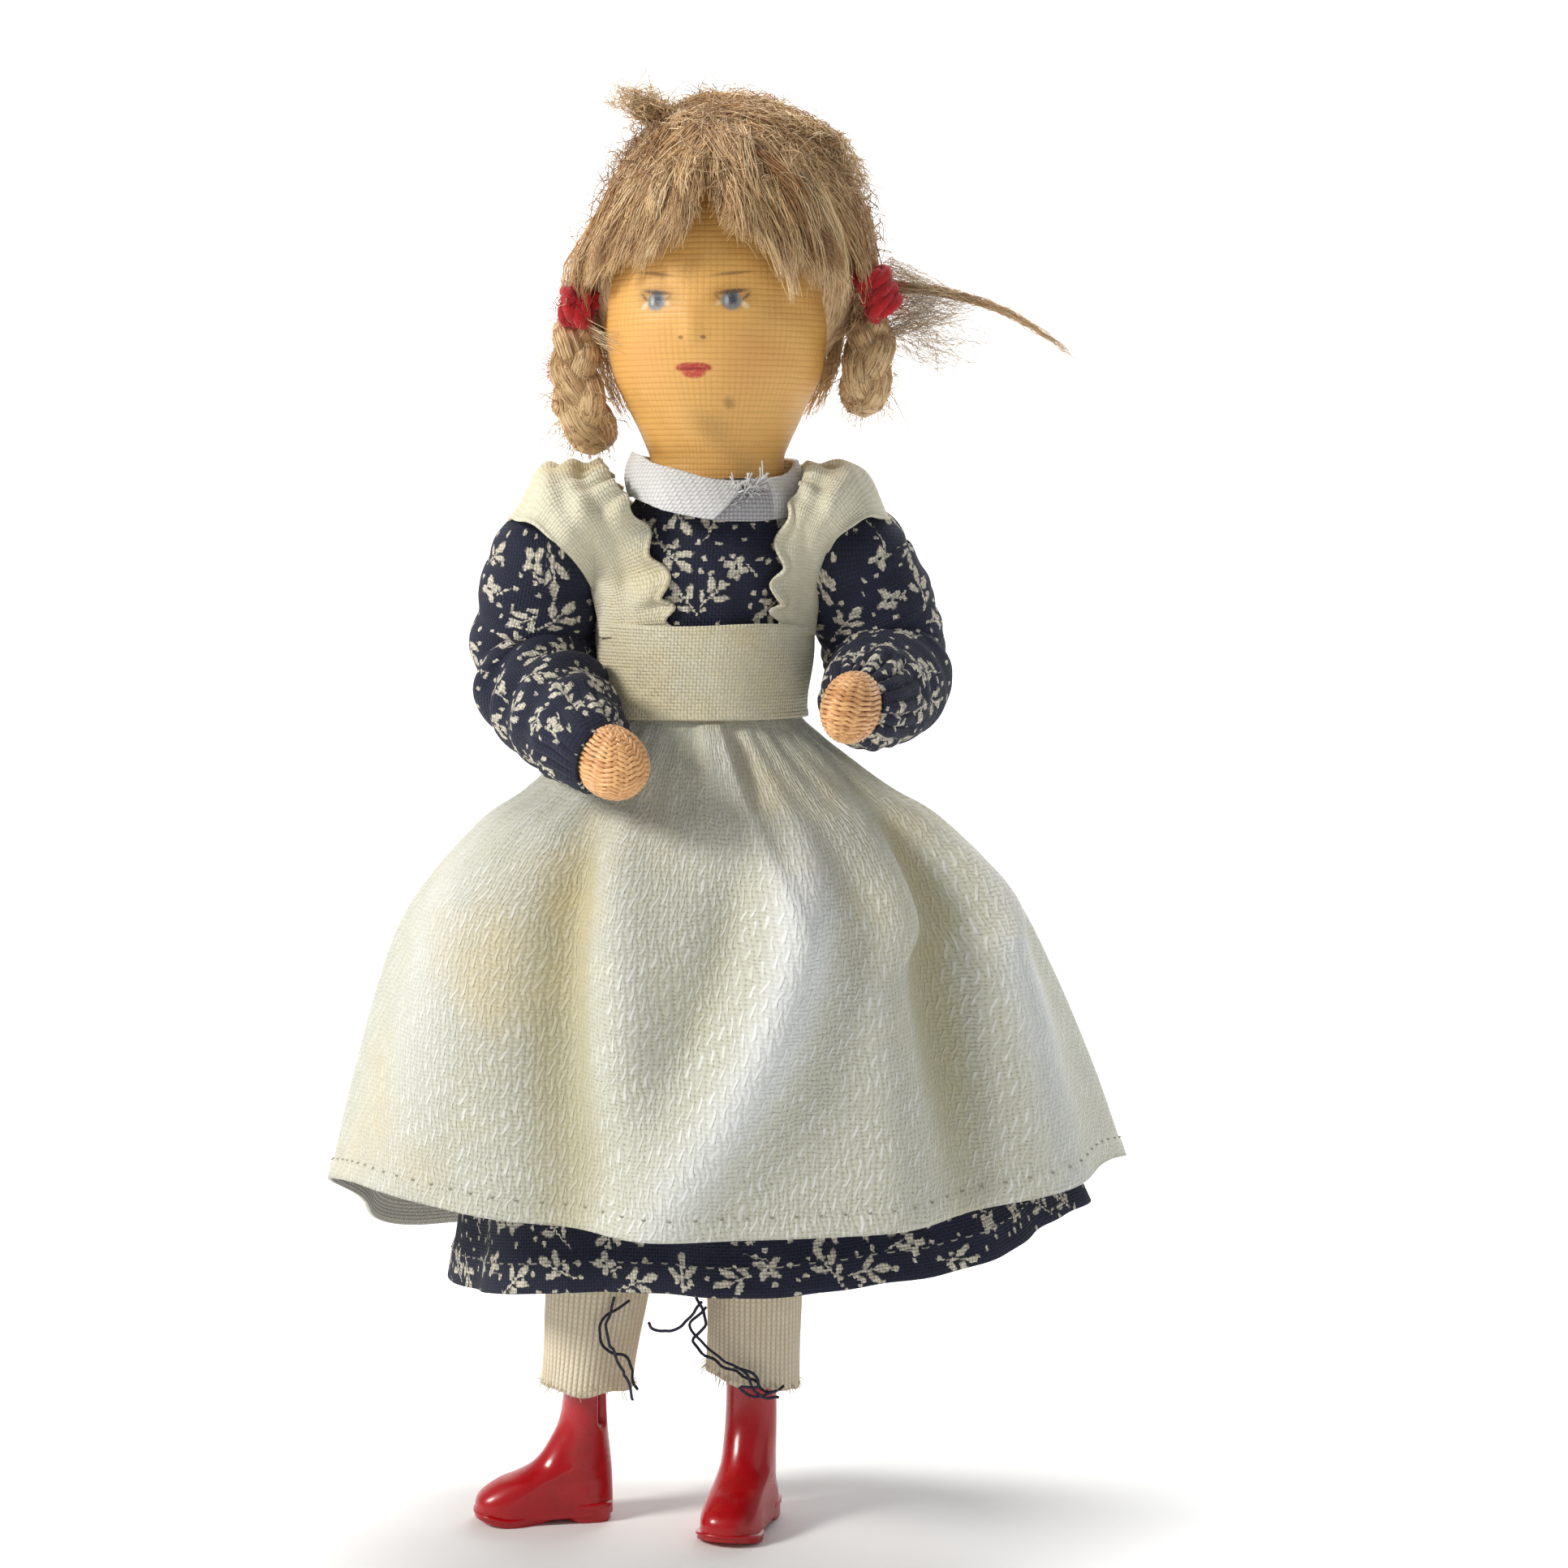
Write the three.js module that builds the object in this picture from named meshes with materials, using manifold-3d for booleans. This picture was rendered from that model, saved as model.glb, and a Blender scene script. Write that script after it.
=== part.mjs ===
// Bendable dolls' house girl: a wire core wrapped in wadding, dressed in sewn cotton, with a mohair
// wig and moulded boots. Millimetres, +Z up. The doll faces -Y, so its own right side is at -X.
import * as THREE from "three";
import { mergeVertices } from "three/addons/utils/BufferGeometryUtils.js";
import Module from "manifold-3d";

const wasm = await Module();
wasm.setup();

// Gaps and thicknesses
const gap = 0.3;
const cloth = 0.5;
const wireRadius = 0.5;
const wireEnd = 0.7; // from a bending point to the cut end of each wire

// Heights above the floor
const ankleZ = 12;
const hipZ = 50;
const waistZ = 63.6;
const bandHeight = 6.6;
const shoulderZ = 75.2;
const neckZ = 81;
const headHeight = 25.2;

// Trunk
const torsoX = -2;
const waistWide = 6.6;
const waistDeep = 4.9;
const chestWide = 7;
const chestDeep = 5.5;
const shoulderReach = 11.6;
const shoulderBack = 0.5;
const spreadReach = 7.9;
const spineRadius = 0.85;

// Head and hair
const headX = -0.7;
const headRadius = 8.5;
const neckRadius = 5.1;
const hairWide = 11.4;
const hairDeep = 11;
const hairTall = 11.9;
const braidRadius = 2.1;
const tieRadius = 1.75;

// Arms
const elbowRight = [-15.4, 1.8, 65.8];
const wristRight = [-9.9, -12.2, 61.3];
const elbowLeft = [13.1, 2.2, 65.9];
const wristLeft = [10.2, -10.4, 64.4];
const sleeveRadius = 4.5;
const cuffRadius = 3;
const armWadding = 3.2;
const handLength = 6.4;
const handRadius = 2.45;

// Legs and boots
const hipSpread = 4.6;
const kneeShare = 0.55;
const ankleRight = -11;
const ankleLeft = 1.9;
const seatRadius = 5;
const seatWide = 8.2;
const legWadding = 3.2;
const legRoom = 0.35; // between the leg wadding and its stocking
const stockingRight = 4.25;
const stockingLeft = 3.85;
const stockingHem = 10.4;
const bootToe = 8.95;
const bootHeel = 1.95;
const bootHalfWidth = 2.3;
const bootTop = 13.2;
const soleThick = 1.1;
const bootTurnRight = 190; // degrees from +X
const bootTurnLeft = -105;

// Skirts
const apronWide = 30.6;
const apronDeep = 22;
const apronDrop = 36.8;
const apronRise = 2.9;
const apronSag = 6.5;
const apronBack = 1.35; // how far back the hem's middle lies from the waist's
const apronOpening = 50; // degrees left open at the back
const dressWide = 24.2;
const dressDeep = 16.8;
const dressDrop = 41.8;
const dressHitch = 4;
const dressDip = 2.6;
const dressShift = 3.1;

const root = new THREE.Group();
root.name = "bendable_miniature_doll";
const turn = Math.PI * 2;
const point = (x, y, z) => new THREE.Vector3(x, y, z);
const radians = THREE.MathUtils.degToRad;

// A mesh as a solid for cutting and joining, and back
function solidOf(geometry) {
  const bare = geometry.index ? geometry.toNonIndexed() : geometry.clone();
  bare.deleteAttribute("normal");
  bare.deleteAttribute("uv");
  const merged = mergeVertices(bare, 1e-4);
  const vertProperties = merged.attributes.position.array;
  const triVerts = new Uint32Array(merged.index.array);
  return new wasm.Manifold(new wasm.Mesh({ numProp: 3, vertProperties, triVerts }));
}

function geometryOf(solid) {
  const mesh = solid.getMesh();
  const geometry = new THREE.BufferGeometry();
  geometry.setAttribute("position", new THREE.BufferAttribute(mesh.vertProperties, 3));
  geometry.setIndex(new THREE.BufferAttribute(mesh.triVerts, 1));
  return geometry;
}

// Smooth curve through pairs of (place, value)
function through(pairs) {
  const at = (i) => pairs[THREE.MathUtils.clamp(i, 0, pairs.length - 1)];
  return (t) => {
    let i = pairs.findIndex((pair) => pair[0] > t) - 1;
    if (i === -2) i = pairs.length - 2;
    if (i < 0) i = 0;
    const span = at(i + 1)[0] - at(i)[0];
    const s = THREE.MathUtils.clamp((t - at(i)[0]) / span, 0, 1);
    const slope = (k) => (at(k + 1)[1] - at(k - 1)[1]) / (at(k + 1)[0] - at(k - 1)[0]);
    const rise = span * slope(i);
    const fall = span * slope(i + 1);
    const a = at(i)[1];
    const b = at(i + 1)[1];
    const s2 = s * s;
    const s3 = s2 * s;
    return a * (2 * s3 - 3 * s2 + 1) + rise * (s3 - 2 * s2 + s) + b * (3 * s2 - 2 * s3) + fall * (s3 - s2);
  };
}

// Faces turned to point out of the closed body
function closedBody(points, faces) {
  let volume = 0;
  for (let i = 0; i < faces.length; i += 3) {
    const [a, b, c] = [points[faces[i]], points[faces[i + 1]], points[faces[i + 2]]];
    volume += a.dot(b.clone().cross(c));
  }
  if (volume < 0) faces.reverse();
  const geometry = new THREE.BufferGeometry().setFromPoints(points);
  geometry.setIndex(faces);
  return geometry;
}

// Rings of equal count joined in order: capped at both ends, or joined round into a loop
function loft(rings, looped = false) {
  const count = rings[0].length;
  const points = rings.flat();
  const faces = [];
  const spans = looped ? rings.length : rings.length - 1;
  for (let i = 0; i < spans; i++) {
    const a = i * count;
    const b = ((i + 1) % rings.length) * count;
    for (let j = 0; j < count; j++) {
      const k = (j + 1) % count;
      faces.push(a + j, a + k, b + k, a + j, b + k, b + j);
    }
  }
  if (!looped) {
    const last = (rings.length - 1) * count;
    const middle = (ring) => ring.reduce((sum, p) => sum.add(p), point(0, 0, 0)).divideScalar(count);
    points.push(middle(rings[0]), middle(rings.at(-1)));
    for (let j = 0; j < count; j++) {
      const k = (j + 1) % count;
      faces.push(points.length - 2, k, j);
      faces.push(points.length - 1, last + j, last + k);
    }
  }
  return closedBody(points, faces);
}

// Level oval ring
function oval(x, y, z, wide, deep, count) {
  const ring = [];
  for (let i = 0; i < count; i++) {
    const a = (turn * i) / count;
    ring.push(point(x + wide * Math.cos(a), y + deep * Math.sin(a), z));
  }
  return ring;
}

// Rings square to a path, carried along it without twist
function ringsAlong(path, radii, count) {
  const rings = [];
  let side = null;
  path.forEach((p, i) => {
    const ahead = path[Math.min(i + 1, path.length - 1)].clone().sub(path[Math.max(i - 1, 0)]).normalize();
    if (!side) side = Math.abs(ahead.z) > 0.7 ? point(1, 0, 0) : point(0, 0, 1);
    side = side.clone().addScaledVector(ahead, -side.dot(ahead)).normalize();
    const up = ahead.clone().cross(side);
    const ring = [];
    for (let j = 0; j < count; j++) {
      const a = (turn * j) / count;
      ring.push(p.clone().addScaledVector(side, radii[i] * Math.cos(a)).addScaledVector(up, radii[i] * Math.sin(a)));
    }
    rings.push(ring);
  });
  return rings;
}

// Sheet of cloth: an outer face given by surface(u, v), and the same face moved in by the thickness
function sheet(surface, across, down, thick, round) {
  const small = 1e-3;
  const columns = round ? across : across + 1;
  const points = [];
  for (const inside of [false, true]) {
    for (let i = 0; i < columns; i++) {
      for (let j = 0; j <= down; j++) {
        const [u, v] = [i / across, j / down];
        const p = surface(u, v);
        if (inside) {
          const du = surface(u + small, v).sub(surface(u - small, v));
          const dv = surface(u, v + small).sub(surface(u, v - small));
          p.addScaledVector(du.cross(dv).normalize(), thick);
        }
        points.push(p);
      }
    }
  }
  const half = points.length / 2;
  const index = (inside, i, j) => (inside ? half : 0) + (i % columns) * (down + 1) + j;
  const faces = [];
  const quad = (a, b, c, d) => faces.push(a, b, c, a, c, d);
  for (let i = 0; i < across; i++) {
    for (let j = 0; j < down; j++) {
      quad(index(0, i, j), index(0, i + 1, j), index(0, i + 1, j + 1), index(0, i, j + 1));
      quad(index(1, i, j), index(1, i, j + 1), index(1, i + 1, j + 1), index(1, i + 1, j));
    }
    quad(index(0, i + 1, 0), index(0, i, 0), index(1, i, 0), index(1, i + 1, 0));
    quad(index(0, i, down), index(0, i + 1, down), index(1, i + 1, down), index(1, i, down));
  }
  for (let j = 0; j < down && !round; j++) {
    quad(index(0, 0, j), index(0, 0, j + 1), index(1, 0, j + 1), index(1, 0, j));
    quad(index(0, across, j + 1), index(0, across, j), index(1, across, j), index(1, across, j + 1));
  }
  return closedBody(points, faces);
}

// Round wire, or the bore for one, along a curve
function wire(curve, steps, radius = wireRadius) {
  const section = new THREE.Shape();
  section.absarc(0, 0, radius, 0, turn, false);
  return new THREE.ExtrudeGeometry(section, { steps, curveSegments: 4, bevelEnabled: false, extrudePath: curve });
}

function straightWire(from, to, radius = wireRadius) {
  return wire(new THREE.LineCurve3(from, to), 1, radius);
}

function ball(centre, radius) {
  const sphere = new THREE.SphereGeometry(radius, 20, 12);
  sphere.translate(centre.x, centre.y, centre.z);
  return solidOf(sphere);
}

// Turned body whose profile runs up the Z axis
function turned(profile, count) {
  const lathe = new THREE.LatheGeometry(profile.map(([r, z]) => new THREE.Vector2(r, z)), count);
  lathe.rotateX(Math.PI / 2);
  return closedBodyOf(lathe);
}

function closedBodyOf(geometry) {
  const bare = geometry.clone();
  bare.deleteAttribute("normal");
  bare.deleteAttribute("uv");
  const merged = mergeVertices(bare, 1e-4);
  const points = [];
  for (let i = 0; i < merged.attributes.position.count; i++) {
    points.push(new THREE.Vector3().fromBufferAttribute(merged.attributes.position, i));
  }
  const faces = [];
  const index = merged.index.array;
  for (let i = 0; i < index.length; i += 3) {
    const [a, b, c] = [index[i], index[i + 1], index[i + 2]];
    if (a !== b && b !== c && c !== a) faces.push(a, b, c);
  }
  return closedBody(points, faces);
}

// Materials
const looks = {
  wire: [0x8d8a84, 0.45, 0.9],
  wadding: [0xe6dfd0, 1, 0],
  skin: [0xd9a860, 0.9, 0],
  hair: [0xb89668, 0.75, 0],
  yarn: [0xc41422, 0.9, 0],
  print: [0x171a2b, 0.95, 0],
  apron: [0xe2ddc6, 0.9, 0],
  white: [0xeeeeec, 0.95, 0],
  floss: [0xe0a070, 0.7, 0],
  knit: [0xd9cdb8, 1, 0],
  boot: [0xc01628, 0.25, 0],
};

function add(name, shape, look) {
  const [color, roughness, metalness] = looks[look];
  const geometry = shape.isBufferGeometry ? shape : geometryOf(shape);
  const mesh = new THREE.Mesh(geometry, new THREE.MeshStandardMaterial({ color, roughness, metalness }));
  mesh.name = name;
  root.add(mesh);
}

// Spine: two wires twisted together, leaning a little to the neck
const neck = point(headX, 0, neckZ);
const spineFoot = point(torsoX, 0, hipZ + wireRadius + wireEnd);
const spineHead = point(headX, 0, neckZ - wireEnd);
function spineRings() {
  const rings = [];
  const strand = spineRadius / 2;
  const twists = 4;
  const levels = 16;
  for (let i = 0; i <= levels; i++) {
    const centre = spineFoot.clone().lerp(spineHead, i / levels);
    const lay = (turn * twists * i) / levels / 2;
    const ring = [];
    for (let j = 0; j < 8; j++) {
      const a = (turn * j) / 8;
      const r = strand * (1 + 0.98 * Math.abs(Math.cos(a)));
      ring.push(point(centre.x + r * Math.cos(a + lay), centre.y + r * Math.sin(a + lay), centre.z));
    }
    rings.push(ring);
  }
  return rings;
}
add("spine_wire", loft(spineRings()), "wire");

// Trunk of wound wadding
const trunkFoot = hipZ + seatRadius + 0.5;
const trunkTop = neckZ - 3;
const bandTop = waistZ + bandHeight;
const trunkWide = through([
  [trunkFoot, waistWide - 1],
  [trunkFoot + 2.5, waistWide - 0.1],
  [waistZ, waistWide],
  [bandTop - 2, waistWide + 0.2],
  [bandTop + 1.5, chestWide - 0.2],
  [shoulderZ - 0.7, chestWide],
  [shoulderZ + 1.4, chestWide - 0.2],
  [trunkTop, chestWide - 1.6],
]);
const trunkDeep = through([
  [trunkFoot, waistDeep - 0.7],
  [trunkFoot + 2.5, waistDeep],
  [waistZ, waistDeep],
  [bandTop - 2, waistDeep + 0.2],
  [bandTop + 1.5, chestDeep - 0.1],
  [shoulderZ - 0.7, chestDeep],
  [shoulderZ + 1.4, chestDeep - 0.8],
  [trunkTop, chestDeep - 1.6],
]);
function leanX(z) {
  const up = THREE.MathUtils.clamp((z - waistZ) / (neckZ - waistZ), 0, 1);
  return THREE.MathUtils.lerp(torsoX, headX, up);
}

function bodyRings(from, to, levels, grow, count) {
  const rings = [];
  for (let i = 0; i <= levels; i++) {
    const z = THREE.MathUtils.lerp(from, to, i / levels);
    rings.push(oval(leanX(z), 0, z, trunkWide(z) + grow, trunkDeep(z) + grow, count));
  }
  return rings;
}

const sides = { right: -1, left: 1 };
const shoulder = {};
const spreadPoint = {};
for (const [side, way] of Object.entries(sides)) {
  shoulder[side] = point(torsoX + way * shoulderReach, shoulderBack, shoulderZ);
  spreadPoint[side] = point(torsoX + way * spreadReach, shoulderBack, shoulderZ);
}

function crossbarCurve(reach) {
  const behind = spineRadius + wireRadius + gap + 0.4;
  const x = leanX(shoulderZ);
  return new THREE.CatmullRomCurve3([
    point(torsoX - reach, shoulderBack, shoulderZ),
    point(torsoX - reach / 2, shoulderBack + 0.4, shoulderZ),
    point(x, behind, shoulderZ),
    point(torsoX + reach / 2, shoulderBack + 0.4, shoulderZ),
    point(torsoX + reach, shoulderBack, shoulderZ),
  ]);
}
const crossbarReach = spreadReach - wireEnd / 2;
add("arm_crossbar_wire", wire(crossbarCurve(crossbarReach), 10), "wire");

let trunk = solidOf(loft(bodyRings(trunkFoot, trunkTop, 8, 0, 18)));
const spineBoreFoot = spineFoot.clone().addScaledVector(point(0, 0, 1), -2);
const spineBoreHead = spineHead.clone().addScaledVector(point(0, 0, 1), 1);
trunk = trunk.subtract(solidOf(straightWire(spineBoreFoot, spineBoreHead, spineRadius + gap)));
trunk = trunk.subtract(solidOf(wire(crossbarCurve(crossbarReach), 10, wireRadius + gap)));
const elbow = { right: point(...elbowRight), left: point(...elbowLeft) };
function armRoom(side) {
  const r = sleeveRadius + 0.1 + gap;
  const path = [0, 0.5, 1].map((t) => shoulder[side].clone().lerp(elbow[side], t));
  return ball(shoulder[side], r).add(solidOf(loft(ringsAlong(path, [r, r, r], 16))));
}
for (const side of Object.keys(sides)) {
  trunk = trunk.subtract(armRoom(side));
}
add("trunk_wadding", trunk, "wadding");

// Bodice: the shell over the trunk, open at the waist, the neck and both arms
const bodiceGrow = gap + cloth;
const bodiceFoot = waistZ + gap;
const bodiceTop = trunkTop + 0.6;
function bodiceShell() {
  const outer = bodyRings(bodiceFoot, bodiceTop, 6, bodiceGrow, 22);
  const inner = bodyRings(bodiceFoot, bodiceTop, 6, gap, 22);
  return loft([...outer, ...inner.reverse()], true);
}
let bodice = solidOf(bodiceShell());
for (const side of Object.keys(sides)) {
  bodice = bodice.subtract(armRoom(side));
}
bodice = bodice.subtract(solidOf(wire(crossbarCurve(crossbarReach + 1), 10, wireRadius + gap)));
add("bodice", bodice, "print");

// Collar: one band round the neck, its end lapped over its start at the front
function collarRings() {
  const rings = [];
  const steps = 34;
  const sweep = turn + 0.55;
  const start = -radians(112);
  for (let i = 0; i <= steps; i++) {
    const along = (sweep * i) / steps;
    const a = start + along;
    const lap = (cloth + gap + 0.1) * THREE.MathUtils.smoothstep(along, turn - 1.2, turn);
    const front = Math.max(0, -Math.sin(a));
    const low = bodiceTop + gap + 0.1 - 0.9 * front * front;
    const high = low + 2.9 - 0.2 * front;
    const wideLow = neckRadius + 1 + 0.8 * front + lap;
    const wideHigh = neckRadius + 0.9 + lap;
    const corner = (r, z) => point(headX - 0.2 + r * Math.cos(a), r * Math.sin(a), z);
    rings.push([
      corner(wideLow, low),
      corner(wideLow + cloth, low),
      corner(wideHigh + cloth, high),
      corner(wideHigh, high),
    ]);
  }
  return rings;
}
add("collar", loft(collarRings()), "white");

// Apron: waistband, straps and skirt
const bandGrow = bodiceGrow + gap;
function waistbandRings() {
  const outer = bodyRings(waistZ, bandTop, 2, bandGrow + cloth, 28);
  const inner = bodyRings(waistZ, bandTop, 2, bandGrow, 28);
  return [...outer, ...inner.reverse()];
}
add("apron_waistband", loft(waistbandRings(), true), "apron");

function strapRings(way) {
  const foot = bandTop + gap;
  const near = chestDeep + bodiceGrow + gap;
  const top = shoulderZ + sleeveRadius + 1.6;
  const rail = new THREE.CatmullRomCurve3([
    point(way * 5.4, -near - 0.1, foot),
    point(way * 6, -near - 0.3, foot + 3),
    point(way * 7.9, -near - 0.2, foot + 6.7),
    point(way * 10.4, -4.2, top - 0.9),
    point(way * 11.4, 0.2, top),
    point(way * 10.4, 4.6, top - 1),
    point(way * 7.4, near + 0.2, foot + 6),
    point(way * 5.2, near + 0.3, foot + 2.6),
    point(way * 4.4, near + 0.1, foot),
  ]);
  const width = through([[0, 4.6], [0.2, 5.2], [0.38, 6.6], [0.5, 7.2], [0.65, 6.4], [0.85, 4.8], [1, 4.4]]);
  const rings = [];
  const steps = 20;
  for (let i = 0; i <= steps; i++) {
    const t = i / steps;
    const centre = rail.getPoint(t).add(point(torsoX, 0, 0));
    const ahead = rail.getTangent(t);
    const across = point(1, 0, 0.05 * way).addScaledVector(ahead, -ahead.x).normalize();
    const out = across.clone().cross(ahead).normalize();
    const ruffle = 0.25 * Math.sin(i * 2.4);
    const corner = (u, w) => centre.clone().addScaledVector(across, u).addScaledVector(out, w);
    const half = width(t) / 2;
    const inner = -way * (half + ruffle);
    const outer = way * half;
    rings.push([corner(inner, 0), corner(outer, 0), corner(outer, cloth), corner(inner, cloth)]);
  }
  return rings;
}
for (const [side, way] of Object.entries(sides)) {
  add("apron_strap_" + side, loft(strapRings(way)), "apron");
}

// Skirt flare: share of the spread reached at each share of the drop
const flare = through([
  [0, 0],
  [0.05, 0.04],
  [0.1, 0.12],
  [0.17, 0.255],
  [0.236, 0.43],
  [0.403, 0.66],
  [0.576, 0.79],
  [0.75, 0.885],
  [1, 1],
]);
const ridge = (a, at, wide) => Math.exp(-(((a - at) / wide) ** 2));

// Main folds of the apron: the angle from the front at which each runs, by share of the drop, with its
// width in degrees, its height in millimetres and the share of that height left at the hem
const apronFolds = [
  { run: through([[0, -34], [0.45, -28], [1, -22]]), wide: 8, high: -2.9, hem: 0.6 },
  { run: through([[0, -22], [0.45, -17], [1, -12]]), wide: 7, high: 1.3, hem: 0 },
  { run: through([[0, -74], [0.5, -54], [1, -52]]), wide: 13, high: 1.4, hem: 0.6 },
  { run: through([[0, 25], [0.28, 20], [0.6, 9], [1, -9]]), wide: 8, high: 2.6, hem: 0.6 },
  { run: through([[0, 14], [0.28, 10], [0.6, -1], [1, -18]]), wide: 7, high: -1.5, hem: 0 },
  { run: through([[0, 62], [0.4, 52], [0.55, 43], [1, 38]]), wide: 7.5, high: -2.9, hem: 0.45 },
  { run: through([[0, 78], [0.4, 68], [0.55, 59], [1, 54]]), wide: 9, high: 2, hem: 0.7 },
  { run: through([[0, 46], [0.4, 38], [0.55, 29], [1, 24]]), wide: 7, high: 0.9, hem: 0.6 },
];

function apronFold(a, v) {
  const open = THREE.MathUtils.smoothstep(v, 0.06, 0.42);
  const toHem = THREE.MathUtils.smoothstep(v, 0.6, 1);
  let total = 1.1 * Math.cos(radians(a * 9)) * THREE.MathUtils.smoothstep(Math.abs(a), 70, 100);
  for (const fold of apronFolds) {
    total += fold.high * THREE.MathUtils.lerp(1, fold.hem, toHem) * ridge(a, fold.run(v), fold.wide);
  }
  return open * total;
}

// How much higher than its middle the hem hangs: up at both sides of the front, down at the back right
function hemLift(a) {
  const sides = apronRise * (ridge(a, 70, 30) + 0.62 * ridge(a, -58, 26));
  return sides - apronSag * THREE.MathUtils.smoothstep(-a, 80, 128);
}

function apronSurface(u, v) {
  const a = THREE.MathUtils.lerp(-180 + apronOpening / 2, 180 - apronOpening / 2, u);
  const way = radians(a - 90);
  const topWide = waistWide + bandGrow + cloth;
  const topDeep = waistDeep + bandGrow + cloth;
  const spread = flare(v);
  const fold = apronFold(a, v);
  const wide = THREE.MathUtils.lerp(topWide, apronWide, spread) + fold;
  const deep = THREE.MathUtils.lerp(topDeep, apronDeep, spread) + fold;
  const x = torsoX * (1 - v) + wide * Math.cos(way);
  const z = waistZ - gap - v * (apronDrop - hemLift(a));
  return point(x, deep * Math.sin(way) + apronBack * spread, z);
}
add("apron_skirt", sheet(apronSurface, 62, 10, cloth, false), "apron");

// Dress skirt under the apron, its hem hitched up at the doll's left
function dressSurface(u, v) {
  const way = turn * u;
  const a = THREE.MathUtils.radToDeg(way);
  const topWide = waistWide + bodiceGrow;
  const topDeep = waistDeep + bodiceGrow;
  const spread = flare(v) * (0.82 + 0.18 * v);
  const fold = 0.7 * Math.cos(radians(a * 8 + 40)) * THREE.MathUtils.smoothstep(v, 0.2, 0.8);
  const wide = THREE.MathUtils.lerp(topWide, dressWide, spread) + fold;
  const deep = THREE.MathUtils.lerp(topDeep, dressDeep, spread) + fold;
  const side = Math.cos(way);
  const lift = side > 0 ? dressHitch * side ** 2 : dressDip * side ** 3;
  const x = THREE.MathUtils.lerp(torsoX, dressShift, v) + wide * Math.cos(way);
  return point(x, deep * Math.sin(way), waistZ - gap - v * (dressDrop - lift));
}
add("dress_skirt", sheet(dressSurface, 40, 6, cloth, true), "print");

// Head: wadding core, painted cloth over it
const headTop = neckZ + headHeight;
const neckFoot = neckZ - 0.1;
const headOutline = through([
  [neckFoot, neckRadius],
  [neckZ + 1.5, neckRadius],
  [neckZ + 2.6, neckRadius + 0.4],
  [neckZ + 5, neckRadius + 1.5],
  [neckZ + 7.8, headRadius - 0.6],
  [neckZ + 10.8, headRadius],
  [neckZ + 12.6, headRadius],
  [neckZ + 15.5, headRadius - 0.35],
  [neckZ + 19, headRadius - 1.3],
]);
function headProfile(shrink) {
  const profile = [];
  const domeFrom = neckZ + 19;
  for (let i = 0; i <= 9; i++) {
    const z = THREE.MathUtils.lerp(neckFoot, domeFrom, i / 9);
    profile.push([headOutline(z) - shrink, z]);
  }
  const r = headRadius - 1.3 - shrink;
  const rise = headTop - shrink - domeFrom;
  for (let i = 1; i <= 4; i++) {
    const a = (turn / 4) * (i / 4);
    profile.push([i === 4 ? 0 : r * Math.cos(a), domeFrom + rise * Math.sin(a)]);
  }
  return profile;
}
const faceOuter = headProfile(0);
const faceInner = headProfile(cloth);
const face = turned([...faceInner.reverse(), ...faceOuter], 20);
face.translate(headX, 0, 0);
add("face_cloth", face, "skin");

const headWire = { foot: point(headX, 0, neckZ + wireEnd), top: point(headX, 0, neckZ + 9) };
const coreProfile = headProfile(cloth + gap);
let core = solidOf(turned([[0, neckFoot], ...coreProfile], 18).translate(headX, 0, 0));
const boreFoot = headWire.foot.clone().add(point(0, 0, -3));
const boreTop = headWire.top.clone().add(point(0, 0, gap));
core = core.subtract(solidOf(straightWire(boreFoot, boreTop, wireRadius + gap)));
add("head_core", core, "wadding");
add("neck_wire", straightWire(headWire.foot, headWire.top), "wire");

const tieRight = point(headX - 10.4, 0.3, neckZ + 13);
const tieLeft = point(headX + 12.1, 0.3, neckZ + 14.1);

// Braids: each a plait folded up into a loop, and the red yarn that ties it
const lump = (t, count) => 1 + 0.1 * Math.cos(turn * count * t);
function plait(points, thick, thin, lumps) {
  const curve = new THREE.CatmullRomCurve3(points);
  const path = [];
  const radii = [];
  const steps = 22;
  for (let i = 0; i <= steps; i++) {
    const t = i / steps;
    path.push(curve.getPoint(t));
    const end = Math.min(1, 0.45 + 2.2 * Math.sqrt(Math.min(t, 1 - t)));
    radii.push(THREE.MathUtils.lerp(thick, thin, t) * lump(t, lumps) * end);
  }
  return loft(ringsAlong(path, radii, 8));
}
const hang = (tie, x, y, drop) => point(tie.x + x, y, tie.z - drop);
const braidRight = plait(
  [
    hang(tieRight, 0.1, 0.2, 1.7),
    hang(tieRight, -0.1, -0.9, 4.6),
    hang(tieRight, 0.7, -1.1, 7.8),
    hang(tieRight, 1.2, 1, 9.6),
    hang(tieRight, 0.3, 3.2, 8.4),
    hang(tieRight, -0.9, 3.5, 6),
  ],
  braidRadius, braidRadius * 0.7, 6);
const braidLeft = plait(
  [
    hang(tieLeft, -0.5, 0.2, 3.1),
    hang(tieLeft, -0.7, -1, 4.9),
    hang(tieLeft, -1, -0.7, 6.4),
    hang(tieLeft, -1, 1.5, 6.9),
    hang(tieLeft, -0.8, 3.4, 5.5),
    hang(tieLeft, -0.7, 3.8, 3.1),
  ],
  braidRadius, braidRadius * 0.7, 5);
add("braid_right", braidRight, "hair");
add("braid_left", braidLeft, "hair");

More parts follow.
